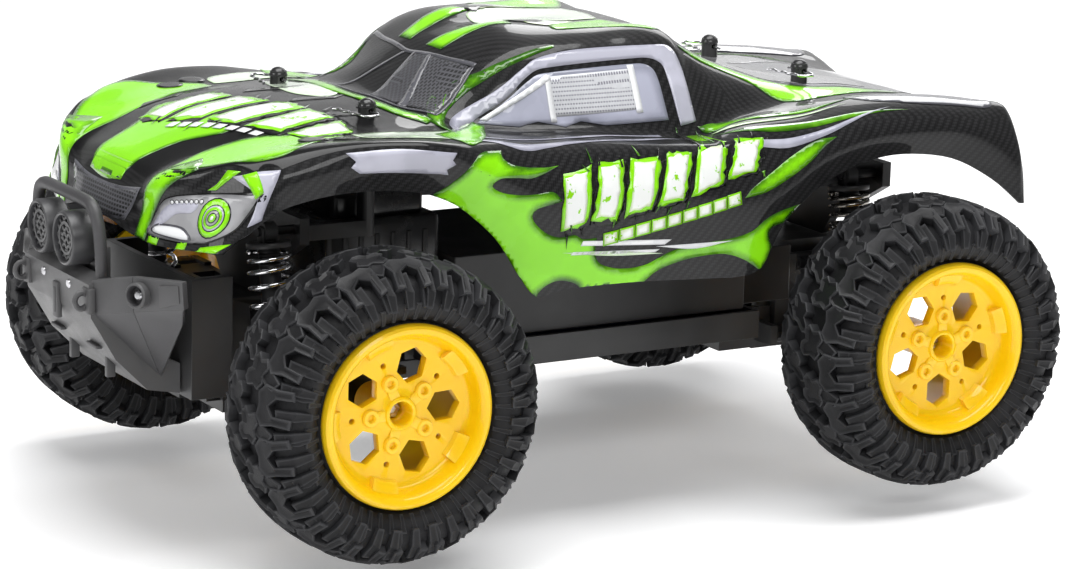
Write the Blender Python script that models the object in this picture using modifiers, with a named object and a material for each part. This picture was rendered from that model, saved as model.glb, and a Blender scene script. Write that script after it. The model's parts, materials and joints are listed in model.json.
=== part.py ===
"""Radio controlled monster truck, built as separate pieces.

Lengths below are millimetres, and piece() turns them into metres. +X is forward, +Y is the truck's
left, +Z is up, and the origin is under the middle of the whole truck, on the ground. A piece that
moves has its origin on its joint's axis.
"""

import math

import bmesh
import bpy
from mathutils import Matrix, Vector

MM = 0.001
GAP = 0.3

# Wheels
FRONT_AXLE_X = 109.0
REAR_AXLE_X = -135.0
TYRE_RADIUS = 58.3
AXLE_Z = TYRE_RADIUS
WHEEL_FACE_Y = 127.0
TYRE_OUTER_Y = 129.5
TYRE_INNER_Y = 81.0
RIM_LIP_RADIUS = 35.0
RIM_SEAT_RADIUS = 33.0
RIM_INNER_Y = 84.0
HUB_BORE_RADIUS = 2.75
STUB_RADIUS = 2.4
TURN_STEPS = 24

# Suspension: two equal parallel arms at each corner
ARM_INNER_Y = 24.0
ARM_OUTER_Y = 70.0
LOWER_ARM_Z = 44.0
UPPER_ARM_Z = 74.0
HINGE_PIN_RADIUS = 1.5
HINGE_HOLE_RADIUS = 1.85
KINGPIN_Y = 80.0
STEER_ARM = 20.0
TIE_ROD_X = FRONT_AXLE_X - STEER_ARM
TIE_ROD_Z = 53.5
SERVO_AXIS_X = TIE_ROD_X - STEER_ARM

# Shock absorbers, as (x, y, z) of the upper and lower pins on the left side
FRONT_SHOCK = ((FRONT_AXLE_X + 19.5, 48.0, 114.0), (FRONT_AXLE_X + 19.5, 58.0, 49.0))
REAR_SHOCK = ((REAR_AXLE_X, 50.0, 115.0), (REAR_AXLE_X, 54.0, 82.0))
COIL_RADIUS = 7.9
WIRE_RADIUS = 0.8
COLLAR_RADIUS = 8.6

# Chassis
TUB_HALF_WIDTH = 45.0
TUB_FRONT_X = 48.0
TUB_REAR_X = -97.0
TUB_BOTTOM_Z = 49.0
SEAM_Z = 60.5
COVER_TOP_Z = 95.0
NECK_HALF_WIDTH = 17.0

# Gears
GEAR_X, GEAR_Z = REAR_AXLE_X, AXLE_Z
MOTOR_X, MOTOR_Z = -112.0, 64.0
GEAR_TEETH, PINION_TEETH = 34, 13

# Body shell
SHELL_THICKNESS = 1.2
POST_RADIUS = 3.4
FRONT_POSTS = (82.0, 38.1, 158.5)
REAR_POSTS = (-119.6, 33.9, 160.0)

# Sections of the left half of the shell, nose to tail. Each point is (x, y, z), from the centre
# line over the roof or bonnet edge, the waist and the fender crest down to the arch or skirt edge.
SHELL_SECTIONS = (
    ((179, 0, 117), (178.7, 16, 117), (176.8, 30, 114), (174, 45, 112.5), (170.5, 58, 113),
     (167, 70, 114), (164.5, 77, 114.5), (162.5, 80, 115)),
    ((175.5, 0, 125), (175.3, 16, 125), (174.3, 30, 123), (172.8, 45, 125), (167.5, 58, 127),
     (163, 69, 128), (158.5, 77.5, 125), (156.8, 82, 120)),
    ((173, 0, 132.5), (172.9, 16, 132.3), (172.5, 31, 131.5), (171.5, 45, 137.5),
     (164.5, 60, 141), (155, 70.5, 144), (152.5, 80, 137), (153.5, 84, 122.3)),
    ((167, 0, 139.5), (166.8, 16, 139.2), (166, 31, 138.3), (160, 42.5, 141.5),
     (154, 60, 144.5), (147, 75, 147), (145.5, 83.5, 140), (146, 85.5, 128)),
    ((139, 0, 150.5), (139, 18, 150.2), (139, 33, 149), (139, 44, 147.8), (139, 60, 148.5),
     (139, 78.5, 149.5), (139, 86.5, 143), (139, 87, 131.6)),
    ((124, 0, 153.5), (124, 18, 153), (124, 35, 152), (124, 48, 150.2), (124, 66, 150.5),
     (124, 83.5, 152), (124, 89, 145), (124, 88, 134.5)),
    ((107, 0, 154.8), (107, 18, 154.5), (107, 37, 153), (107, 56, 150.8), (107, 72, 151.6),
     (107, 88, 153.2), (107, 91, 146), (107, 88, 135)),
    ((87, 0, 155.2), (87, 18, 155), (87, 38, 153), (87, 63, 150.7), (87, 76, 151.4),
     (87, 91, 152.4), (87, 93, 145), (87, 88, 133)),
    ((73, 0, 155.6), (73, 18, 155.3), (73, 40, 153.4), (73, 60, 150.8), (73, 75, 150.6),
     (73, 91, 150.4), (73, 93.5, 143), (73, 88, 128.3)),
    ((63, 0, 156.4), (63, 20, 155.8), (63, 43, 153.6), (63, 58, 150.6), (63, 75, 149.8),
     (63, 88.5, 148.8), (63, 93.5, 140), (63, 88.5, 121.5)),
    ((53, 0, 163.5), (53, 22, 162), (52, 45, 156.5), (52, 56, 150.4), (52, 73, 149),
     (52, 87, 147.6), (52, 93.3, 135), (52.6, 89, 111.6)),
    ((44, 0, 170), (44, 22, 168.5), (43, 46, 162.8), (43, 57, 150.2), (43, 73, 148.2),
     (43, 86.5, 146.2), (43, 93.2, 131), (44.5, 90, 99)),
    ((36, 0, 175.2), (36, 22, 174), (36, 47.5, 168.6), (36, 59, 150), (36, 74, 147.5),
     (36, 86, 145.2), (36, 93.2, 128), (36, 90.5, 88.9)),
    ((26, 0, 178.3), (26, 22, 179.6), (26, 49.5, 173.2), (26, 61, 149.5), (26, 74, 146.8),
     (26, 86.3, 144.3), (26, 93.4, 126), (26, 90, 90)),
    ((16, 0, 179.3), (16, 22, 183), (16, 50, 175.3), (16, 62.5, 149), (16, 74.5, 146.3),
     (16, 86.5, 143.7), (16, 93.7, 125), (16, 90, 90.6)),
    ((-2, 0, 180), (-2, 22, 182.6), (-2, 49, 176.6), (-2, 65, 147.7), (-2, 76, 145),
     (-2, 87, 142.3), (-2, 94, 124), (-2, 90, 90.5)),
    ((-18, 0, 180.3), (-18, 22, 180.6), (-18, 48.3, 177.5), (-18, 67, 145.5), (-18, 77, 143.2),
     (-18, 87, 140.7), (-18, 93.8, 122.5), (-18, 90, 89.9)),
    ((-36, 0, 180.2), (-36, 22, 179.8), (-36, 48.3, 178), (-36, 68, 142.8), (-36, 78, 141.5),
     (-36, 86.8, 139.4), (-36, 93, 121), (-36, 90, 88.8)),
    ((-47, 0, 178.8), (-47, 22, 178.4), (-47, 48, 176), (-48, 68.5, 140.8), (-48, 78, 140.5),
     (-48, 86, 138.8), (-48, 92, 120), (-48, 90, 88.2)),
    ((-54, 0, 175), (-54, 21, 174.5), (-54, 46.5, 171.8), (-54, 66, 142), (-54, 76, 142.3),
     (-54, 84.5, 139.6), (-54, 91.5, 119), (-54, 90, 87.8)),
    ((-66, 0, 168.8), (-66, 20, 168.4), (-66, 44.5, 165.5), (-66, 62.5, 145.5), (-66, 72, 145.2),
     (-66, 82.5, 141.6), (-66, 90.5, 121), (-66.5, 90, 90.5)),
    ((-79, 0, 163), (-79, 20, 162.8), (-79, 43, 160.5), (-79, 58.5, 147), (-79, 69, 146.3),
     (-79, 81.5, 142.4), (-79, 89, 124), (-79, 88, 108)),
    ((-97, 0, 156.5), (-97, 20, 156.3), (-97, 42, 154.8), (-97, 56, 148.8), (-97, 68, 147.4),
     (-97, 81, 143.8), (-97, 87.5, 133), (-97, 86, 120.5)),
    ((-118, 0, 152.6), (-118, 20, 152.4), (-118, 42, 151.6), (-118, 56, 149.8),
     (-118, 68, 150), (-118, 80, 146.6), (-118, 86, 138), (-118, 84, 127.5)),
    ((-138, 0, 151), (-138, 20, 151), (-138, 42, 150.2), (-138, 56, 149.2), (-138, 68, 150.6),
     (-138, 79, 147.3), (-138, 85, 139), (-138, 83, 129.3)),
    ((-163, 0, 146.5), (-163, 20, 146.5), (-163, 42, 146), (-163, 54, 146.8), (-163, 66, 148.8),
     (-163, 77, 146.3), (-163, 84, 138), (-163, 82, 125.5)),
    ((-183, 0, 141.5), (-183, 20, 141.5), (-183, 42, 141.6), (-183, 53, 143.3), (-183, 64, 145.8),
     (-183, 75, 144.2), (-183, 83.5, 133), (-183, 83.5, 115.5)),
    ((-196, 0, 136), (-196, 20, 136), (-196, 42, 136.5), (-196, 52, 139), (-196, 62, 142),
     (-196, 73, 142.6), (-196, 83, 127), (-196, 85.5, 105)),
    ((-200, 0, 126), (-200, 20, 126), (-200, 42, 126), (-200, 52, 127.5), (-200, 62, 131),
     (-200, 71.5, 133.5), (-199.6, 81.5, 121), (-199, 85, 104.5)),
)


def clear_scene():
    for old in list(bpy.data.objects):
        bpy.data.objects.remove(old, do_unlink=True)


def new_collection(name):
    made = bpy.data.collections.new(name)
    bpy.context.scene.collection.children.link(made)
    return made


def new_material(name, colour, roughness, metallic=0.0):
    made = bpy.data.materials.new(name)
    made.use_nodes = True
    shader = made.node_tree.nodes["Principled BSDF"]
    shader.inputs["Base Color"].default_value = (*colour, 1.0)
    shader.inputs["Roughness"].default_value = roughness
    shader.inputs["Metallic"].default_value = metallic
    return made


clear_scene()
PARTS = new_collection("monster_truck")
CUTTERS = new_collection("cutters")

MATERIALS = {
    "shell": new_material("shell_green", (0.30, 0.76, 0.0), 0.2),
    "plastic": new_material("black_plastic", (0.012, 0.012, 0.013), 0.45),
    "bumper": new_material("grey_plastic", (0.03, 0.03, 0.032), 0.6),
    "rubber": new_material("tyre_rubber", (0.02, 0.02, 0.021), 0.8),
    "rim": new_material("yellow_plastic", (0.96, 0.55, 0.01), 0.35),
    "chrome": new_material("chrome_wire", (0.8, 0.8, 0.82), 0.15, 1.0),
    "dark_wire": new_material("dark_wire", (0.3, 0.28, 0.25), 0.3, 1.0),
    "steel": new_material("steel", (0.6, 0.6, 0.62), 0.3, 1.0),
    "lens": new_material("lamp_grey", (0.05, 0.05, 0.055), 0.3),
    "gear": new_material("gear_white", (0.7, 0.7, 0.68), 0.5),
    "board": new_material("board_green", (0.02, 0.15, 0.06), 0.5),
    "battery": new_material("battery_wrap", (0.05, 0.09, 0.3), 0.4),
}


def block(low, high):
    """Box between two corners."""
    shape = bmesh.new()
    bmesh.ops.create_cube(shape, size=1.0)
    low, high = Vector(low), Vector(high)
    bmesh.ops.scale(shape, vec=high - low, verts=shape.verts)
    bmesh.ops.translate(shape, vec=(high + low) / 2, verts=shape.verts)
    return shape


def rod(start, end, radius, sides=10):
    """Round bar between two points."""
    start, end = Vector(start), Vector(end)
    along = end - start
    turn = along.to_track_quat("Z", "Y").to_matrix().to_4x4()
    shape = bmesh.new()
    bmesh.ops.create_cone(
        shape, cap_ends=True, segments=sides, radius1=radius, radius2=radius,
        depth=along.length, matrix=Matrix.Translation((start + end) / 2) @ turn,
    )
    return shape


def pin(x_low, x_high, y, z, radius, sides=8):
    """Round bar along X."""
    return rod((x_low, y, z), (x_high, y, z), radius, sides)


def plate(outline, thickness, place):
    """Flat outline extruded half its thickness each way, then put in place."""
    curve = bpy.data.curves.new("outline", "CURVE")
    curve.dimensions = "2D"
    curve.fill_mode = "BOTH"
    curve.extrude = thickness / 2
    spline = curve.splines.new("POLY")
    spline.points.add(len(outline) - 1)
    for point, (x, y) in zip(spline.points, outline):
        point.co = (x, y, 0, 1)
    spline.use_cyclic_u = True
    holder = bpy.data.objects.new("outline", curve)
    PARTS.objects.link(holder)
    graph = bpy.context.evaluated_depsgraph_get()
    mesh = bpy.data.meshes.new_from_object(holder.evaluated_get(graph))
    shape = bmesh.new()
    shape.from_mesh(mesh)
    bmesh.ops.remove_doubles(shape, verts=shape.verts, dist=0.01)
    bmesh.ops.recalc_face_normals(shape, faces=shape.faces)
    bmesh.ops.transform(shape, matrix=place, verts=shape.verts)
    bpy.data.objects.remove(holder)
    bpy.data.curves.remove(curve)
    bpy.data.meshes.remove(mesh)
    return shape


def mesh_from(shape, name, pivot):
    """Mesh in metres, about the pivot."""
    for vert in shape.verts:
        vert.co = (vert.co - Vector(pivot)) * MM
    mesh = bpy.data.meshes.new(name)
    shape.to_mesh(mesh)
    shape.free()
    return mesh


def smooth(mesh):
    mesh.shade_smooth()
    mesh.set_sharp_from_angle(angle=math.radians(35))


def piece(name, finish, base, adds=(), cuts=(), pivot=(0, 0, 0)):
    """One named piece: a base solid, with solids joined to it and then solids cut from it."""
    mesh = mesh_from(base, name, pivot)
    smooth(mesh)
    mesh.materials.append(MATERIALS[finish])
    made = bpy.data.objects.new(name, mesh)
    made.location = Vector(pivot) * MM
    PARTS.objects.link(made)
    add_booleans(made, adds, "UNION")
    add_booleans(made, cuts, "DIFFERENCE")
    return made


def add_booleans(target, shapes, operation):
    for count, shape in enumerate(shapes):
        label = f"{target.name}_{operation.lower()}_{count}"
        helper = bpy.data.objects.new(label, mesh_from(shape, label, (0, 0, 0)))
        helper.hide_render = True
        helper.display_type = "WIRE"
        CUTTERS.objects.link(helper)
        boolean = target.modifiers.new(label, "BOOLEAN")
        boolean.operation = operation
        boolean.solver = "EXACT"
        boolean.object = helper


def turned(name, finish, profile, centre, outward):
    """Profile of (radius, distance outward along Y) spun round the wheel axis through centre."""
    area = sum(a[0] * b[1] - b[0] * a[1] for a, b in zip(profile, profile[1:] + profile[:1]))
    if area > 0:
        profile = profile[::-1]
    on_axis = [point for point in profile if point[0] == 0]
    count = len(profile)
    edges = [(i, (i + 1) % count) for i in range(count)]
    if on_axis:
        start = next(i for i in range(count) if profile[i][0] == 0 and profile[i - 1][0] == 0)
        edges = [edge for edge in edges if edge != ((start - 1) % count, start)]
    mesh = bpy.data.meshes.new(name)
    mesh.from_pydata([(r * MM, 0, z * MM) for r, z in profile], edges, [])
    mesh.materials.append(MATERIALS[finish])
    made = bpy.data.objects.new(name, mesh)
    made.location = Vector(centre) * MM
    made.rotation_euler = (-outward * math.pi / 2, 0, 0)
    PARTS.objects.link(made)
    screw = made.modifiers.new("turn", "SCREW")
    screw.axis = "Z"
    screw.steps = screw.render_steps = TURN_STEPS
    screw.use_merge_vertices = True
    screw.merge_threshold = 0.00001
    screw.use_smooth_shade = True
    return made


def coil(name, finish, top, bottom, radius, wire, turns):
    """Round spring between two points of its axis, with its ends closed flat."""
    top, bottom = Vector(top), Vector(bottom)
    along = (bottom - top).normalized()
    across = Vector((1, 0, 0))
    third = along.cross(across)
    length = (bottom - top).length - 2 * wire
    steps = int(turns * 8)
    curve = bpy.data.curves.new(name, "CURVE")
    curve.dimensions = "3D"
    curve.bevel_depth = wire * MM
    curve.bevel_resolution = 1
    curve.use_fill_caps = True
    spline = curve.splines.new("POLY")
    spline.points.add(steps)
    pitch_end = 2.4 * wire / length
    for i, point in enumerate(spline.points):
        part, angle = i / steps, 2 * math.pi * turns * i / steps
        ends = 1.0 / turns
        if part < ends:
            rise = pitch_end * part / ends
        elif part > 1 - ends:
            rise = 1 - pitch_end * (1 - part) / ends
        else:
            rise = pitch_end + (1 - 2 * pitch_end) * (part - ends) / (1 - 2 * ends)
        place = top + along * (wire + length * rise)
        place += radius * (math.cos(angle) * across + math.sin(angle) * third)
        point.co = (*((place - top) * MM), 1)
    curve.materials.append(MATERIALS[finish])
    made = bpy.data.objects.new(name, curve)
    made.location = top * MM
    PARTS.objects.link(made)
    return made


def body_shell():
    """Thin moulded shell: a loft of the sections, with its thickness inside, and four post holes."""
    across = 2 * len(SHELL_SECTIONS[0]) - 1
    shape = bmesh.new()
    rows = []
    for section in SHELL_SECTIONS:
        right = [(x, -y, z) for x, y, z in section[:0:-1]]
        rows.append([shape.verts.new(Vector(p) * MM) for p in (*right, *section)])
    for front, back in zip(rows, rows[1:]):
        for j in range(across - 1):
            shape.faces.new((front[j], front[j + 1], back[j + 1], back[j]))
    bmesh.ops.recalc_face_normals(shape, faces=shape.faces)
    top_face = max(shape.faces, key=lambda face: face.calc_center_median().z)
    if top_face.normal.z < 0:
        bmesh.ops.reverse_faces(shape, faces=shape.faces)
    mesh = bpy.data.meshes.new("body_shell")
    shape.to_mesh(mesh)
    shape.free()
    smooth(mesh)
    mesh.materials.append(MATERIALS["shell"])
    made = bpy.data.objects.new("body_shell", mesh)
    PARTS.objects.link(made)
    skin = made.modifiers.new("thickness", "SOLIDIFY")
    skin.thickness = SHELL_THICKNESS * MM
    skin.offset = -1
    skin.use_even_offset = True
    holes = [
        rod((x, side * y, 140), (x, side * y, 170), POST_RADIUS + 0.6, 12)
        for x, y, _ in (FRONT_POSTS, REAR_POSTS)
        for side in (1, -1)
    ]
    add_booleans(made, holes, "DIFFERENCE")


def body_clips():
    """Wire clip through each post: a straight leg and a bent leg outside it, one bent wire."""
    for end, (x, y, top) in (("front", FRONT_POSTS), ("rear", REAR_POSTS)):
        for side, label in ((1, "left"), (-1, "right")):
            z = top - 3.2
            path = [(-4, -8), (-4, 9), (0, 12.5), (4, 9), (4.6, 3), (5.2, -2), (6.4, -8)]
            name = f"body_clip_{end}_{label}"
            curve = bpy.data.curves.new(name, "CURVE")
            curve.dimensions = "3D"
            curve.bevel_depth = 0.55 * MM
            curve.bevel_resolution = 1
            curve.use_fill_caps = True
            spline = curve.splines.new("POLY")
            spline.points.add(len(path) - 1)
            for point, (along, out) in zip(spline.points, path):
                point.co = ((along + 4) * MM, side * out * MM, 0, 1)
            curve.materials.append(MATERIALS["chrome"])
            made = bpy.data.objects.new(name, curve)
            made.location = (x * MM, side * y * MM, z * MM)
            PARTS.objects.link(made)


def post(x, y, low, high):
    """Upright body post with a cross hole for its clip."""
    bar = rod((x, y, low), (x, y, high), POST_RADIUS, 12)
    hole = rod((x, y - 6, high - 3.2), (x, y + 6, high - 3.2), 1.0, 6)
    return bar, hole


def tower(name, plate_x, shock_x, shock_y, shock_z, half_width, low, posts):
    """Shock tower: an upright plate, a pin for each shock and a strut out to each body post."""
    outline = [
        (-half_width, shock_z + 5), (-half_width, shock_z - 5), (-20, low + 8), (-14, low),
        (14, low), (20, low + 8), (half_width, shock_z - 5), (half_width, shock_z + 5),
    ]
    turn = Matrix(((0, 0, 1, plate_x), (1, 0, 0, 0), (0, 1, 0, 0), (0, 0, 0, 1)))
    base = plate(outline, 4.0, turn)
    adds, cuts = [], []
    reach = 1 if shock_x > plate_x else -1
    post_x, post_y, post_top = posts
    for side in (1, -1):
        y = side * shock_y
        adds.append(pin(plate_x, shock_x + reach * 4.5, y, shock_z, 1.8))
        low_x, high_x = sorted((plate_x, post_x))
        strut_z = shock_z - 2
        adds.append(block((low_x - 0.2, side * post_y - 3.1, strut_z - 5),
                          (high_x + 0.2, side * post_y + 3.1, strut_z + 1)))
        bar, hole = post(post_x, side * post_y, strut_z - 5.4, post_top)
        adds.append(bar)
        cuts.append(hole)
    piece(name, "plastic", base, adds, cuts)


def inner_hinges(x, lower_reach, upper_reach):
    """Ears and pins on which one corner's arms turn, on both sides of the truck."""
    shapes = []
    for side in (1, -1):
        y = side * ARM_INNER_Y
        for z, reach in ((LOWER_ARM_Z, lower_reach), (UPPER_ARM_Z, upper_reach)):
            shapes.append(pin(x - reach - 3, x + reach + 3, y, z, HINGE_PIN_RADIUS))
            for end in (-1, 1):
                near, far = sorted((x + end * reach, x + end * (reach + 3.4)))
                inner, outer = sorted((side * 16.0, side * 28.0))
                shapes.append(block((near, inner, z - 4.2), (far, outer, z + 4.2)))
    return shapes


LOWER_REACH, UPPER_REACH = 17.0, 9.0


def chassis_tub():
    """Tray with a neck forward to the front hinge block, and an upright box behind the bumper."""
    base = block((TUB_REAR_X, -TUB_HALF_WIDTH, TUB_BOTTOM_Z), (TUB_FRONT_X, TUB_HALF_WIDTH, SEAM_Z))
    neck = block((TUB_FRONT_X - 3, -NECK_HALF_WIDTH, 41.5), (FRONT_AXLE_X + 30, NECK_HALF_WIDTH, 48.6))
    hub = block((FRONT_AXLE_X - 14, -19, 37), (FRONT_AXLE_X + 24, 19, 82))
    nose = block((139, -40, 49.4), (156, 40, 96))
    join = block((130, -16, 44), (150, 16, 60))
    riser = block((TUB_FRONT_X - 1.5, -16, 44), (TUB_FRONT_X + 4, 16, 57))
    skid = block((FRONT_AXLE_X - 21.5, -15.5, 38.5), (FRONT_AXLE_X + 21.5, 15.5, 47.2))
    hinges = inner_hinges(FRONT_AXLE_X, LOWER_REACH, UPPER_REACH)
    cuts = [
        block((TUB_REAR_X + 2, -43, TUB_BOTTOM_Z + 2), (TUB_FRONT_X - 2, 43, SEAM_Z + 5)),
        block((130.5, -37, 60.5), (153, 37, 100)),
        block((-70, -18, TUB_BOTTOM_Z - 5), (20, 18, TUB_BOTTOM_Z + 5)),
    ]
    piece("chassis_tub", "plastic", base, [neck, riser, hub, skid, nose, join, *hinges], cuts)


def chassis_cover():
    """Upper half of the chassis: a cover over the battery and the electronics, open below."""
    base = block((-92, -41, SEAM_Z + GAP), (44, 41, COVER_TOP_Z))
    tail = block((-119, -34, SEAM_Z + GAP), (-80, 34, 84))
    cuts = [
        block((-90, -39, SEAM_Z - 3), (42, 39, COVER_TOP_Z - 2)),
        block((-125, -32, SEAM_Z - 3), (-70, 32, 82)),
    ]
    piece("chassis_cover", "plastic", base, [tail], cuts)


def gearbox():
    """Rear housing that carries the rear arms, open at the front for the gears."""
    base = block((-160, -19, 37), (-122.4, 19, 82))
    hinges = inner_hinges(REAR_AXLE_X, LOWER_REACH, UPPER_REACH)
    skid = block((REAR_AXLE_X - 21.5, -15.5, 36), (REAR_AXLE_X + 21.5, 15.5, 41))
    foot = block((-125, -15.5, 36.5), (TUB_REAR_X - GAP, 15.5, 53.8))
    cuts = [
        block((-155.5, -15, 39.8), (-117, 15, 78)),
        rod((GEAR_X, -30, GEAR_Z), (GEAR_X, 30, GEAR_Z), 3.6),
        block((-127, -13, 46), (TUB_REAR_X + 5, 13, 60)),
    ]
    piece("gearbox_case", "plastic", base, [skid, foot, *hinges], cuts)


def toothed(teeth, root, tip):
    """Outline of a spur gear with plain teeth."""
    outline = []
    for i in range(teeth):
        for part, radius in ((0.0, root), (0.3, tip), (0.5, tip), (0.8, root)):
            angle = 2 * math.pi * (i + part) / teeth
            outline.append((radius * math.cos(angle), radius * math.sin(angle)))
    return outline


def drive_train():
    """Motor, its pinion, and the gear on the cross shaft that turns the drive shafts."""
    upright = Matrix.Rotation(math.pi / 2, 4, "X")
    motor = rod((MOTOR_X, -30, MOTOR_Z), (MOTOR_X, 1.5, MOTOR_Z), 9.5, 20)
    shaft = rod((MOTOR_X, 0, MOTOR_Z), (MOTOR_X, 3, MOTOR_Z), 3.0)
    piece("motor", "steel", motor, [shaft])
    pivot = (MOTOR_X, 7, MOTOR_Z)
    wheel = plate(toothed(PINION_TEETH, 5.2, 6.5), 6, Matrix.Translation(pivot) @ upright)
    piece("motor_pinion", "steel", wheel, pivot=pivot)
    pivot = (GEAR_X, 7, GEAR_Z)
    wheel = plate(toothed(GEAR_TEETH, 15.6, 16.8), 6, Matrix.Translation(pivot) @ upright)
    shaft = rod((GEAR_X, -19.3, GEAR_Z), (GEAR_X, 19.3, GEAR_Z), 3.0)
    piece("drive_gear", "gear", wheel, [shaft], pivot=pivot)


def battery_and_board():
    """Battery pack over its door, and the circuit board above it."""
    piece("battery_pack", "battery", block((-66, -16, 52.2), (14, 16, 70)))
    piece("circuit_board", "board", block((-60, -30, 78), (30, 30, 79.6)),
          [block((-20, -12, 79), (4, 12, 86))])
    pivot = (-25, 16.8, TUB_BOTTOM_Z + 0.6)
    door = block((-69.6, -17.6, TUB_BOTTOM_Z), (19.6, 17.6, TUB_BOTTOM_Z + 1.9))
    piece("battery_door", "plastic", door, pivot=pivot)


def steering():
    """Servo on the neck, its horn, and the tie rod between the two steering arms."""
    piece("steering_servo", "plastic", block((56, -11, 48.9), (80, 11, 55.2)))
    pivot = (SERVO_AXIS_X, 0, 57)
    hub = rod((SERVO_AXIS_X, 0, 55.6), (SERVO_AXIS_X, 0, 60.5), 4.2)
    arm = block((SERVO_AXIS_X, -2.5, 57.4), (TIE_ROD_X + 2.5, 2.5, 60))
    ball = rod((TIE_ROD_X, 0, 58), (TIE_ROD_X, 0, 55.4), HINGE_PIN_RADIUS)
    piece("servo_horn", "plastic", hub, [arm, ball], pivot=pivot)
    eyes, holes = [], []
    for y in (-KINGPIN_Y + 1, 0, KINGPIN_Y - 1):
        eyes.append(rod((TIE_ROD_X, y, TIE_ROD_Z - 1.5), (TIE_ROD_X, y, TIE_ROD_Z + 1.5), 4.8, 12))
        holes.append(rod((TIE_ROD_X, y, TIE_ROD_Z - 4), (TIE_ROD_X, y, TIE_ROD_Z + 4), 3.3, 12))
    bar = rod((TIE_ROD_X, -76, TIE_ROD_Z), (TIE_ROD_X, 76, TIE_ROD_Z), 1.3)
    piece("tie_rod", "plastic", bar, eyes, holes, pivot=(TIE_ROD_X, 0, TIE_ROD_Z))


def mirror_y(side, low, high):
    """Box on the given side, from its left-side corners."""
    inner, outer = sorted((side * low[1], side * high[1]))
    return block((low[0], inner, low[2]), (high[0], outer, high[2]))


def arm(name, x, side, z, reach, shock_pin):
    """Suspension arm: a sleeve on the inner pin, a web, and a fork with a pin at the outer end."""
    inner, outer = side * ARM_INNER_Y, side * ARM_OUTER_Y
    base = pin(x - reach + 0.6, x + reach - 0.6, inner, z, 4.0, 10)
    root = reach - 2.5
    outline = [(side * ARM_INNER_Y, root), (side * 60, 8.2), (side * 65.4, 8.2),
               (side * 65.4, -8.2), (side * 60, -8.2), (side * ARM_INNER_Y, -root)]
    lie = Matrix(((0, 1, 0, x), (1, 0, 0, 0), (0, 0, 1, z), (0, 0, 0, 1)))
    web = plate(outline, 4.6, lie)
    adds = [web, pin(x - 7, x + 7, outer, z, HINGE_PIN_RADIUS)]
    for end in (-1, 1):
        near, far = sorted((end * 5.3, end * 8.3))
        adds.append(mirror_y(side, (x + near, 60, z - 3.6), (x + far, 74, z + 3.6)))
    if shock_pin:
        shock_x, shock_y, shock_z = shock_pin
        near, far = shock_x - 7, shock_x - 4
        adds.append(mirror_y(side, (near, shock_y - 4, z - 1), (far, shock_y + 4, shock_z + 3)))
        adds.append(mirror_y(side, (x - 6.5, shock_y - 3.5, z - 2), (far - 0.5, shock_y + 3.5, z + 2)))
        adds.append(pin(near + 1, shock_x + 3.2, side * shock_y, shock_z, HINGE_PIN_RADIUS))
    hole = pin(x - reach - 5, x + reach + 5, inner, z, HINGE_HOLE_RADIUS, 8)
    window = mirror_y(side, (x - 5, 36, z - 6), (x + 5, 50, z + 6))
    pivot = (x, inner, z)
    return piece(name, "plastic", base, adds, [hole, window], pivot)


def hub_carrier(name, x, side, axle_hole):
    """Upright between the two arms' outer pins. The rear one holds the axle, the front a kingpin."""
    outer = side * ARM_OUTER_Y
    base = mirror_y(side, (x - 4.6, 71, 40.5), (x + 4.6, 74.6, 77.5))
    adds, cuts = [], []
    for z in (LOWER_ARM_Z, UPPER_ARM_Z):
        adds.append(pin(x - 4.6, x + 4.6, outer, z, 3.7, 10))
        cuts.append(pin(x - 9, x + 9, outer, z, HINGE_HOLE_RADIUS, 8))
    if axle_hole:
        adds.append(rod((x, side * 72, AXLE_Z), (x, side * 88, AXLE_Z), 7.5, 14))
        cuts.append(rod((x, side * 60, AXLE_Z), (x, side * 95, AXLE_Z), 3.4, 10))
    else:
        for low in (48.4, 65.6):
            adds.append(mirror_y(side, (x - 4.4, 73, low), (x + 4.4, 84, low + 2.6)))
        cuts.append(rod((x, side * KINGPIN_Y, 45), (x, side * KINGPIN_Y, 72), 1.95))
    return piece(name, "plastic", base, adds, cuts, (x, outer, LOWER_ARM_Z))


def knuckle(side, label):
    """Front steering knuckle: kingpin, stub axle, and an arm back to the tie rod."""
    x, y = FRONT_AXLE_X, side * KINGPIN_Y
    base = mirror_y(side, (x - 6, 77.6, 51.6), (x + 6, 88, 65.0))
    adds = [
        rod((x, y, 46.5), (x, y, 70), 1.6),
        rod((x, side * 86, AXLE_Z), (x, side * 111, AXLE_Z), STUB_RADIUS, 10),
        mirror_y(side, (TIE_ROD_X - 2.5, 77.3, 62), (x - 4, 81.5, 64.8)),
        rod((TIE_ROD_X, side * (KINGPIN_Y - 1), 63), (TIE_ROD_X, side * (KINGPIN_Y - 1), 48), 1.1),
    ]
    piece(f"steering_knuckle_{label}", "plastic", base, adds, pivot=(x, y, AXLE_Z))


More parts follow.
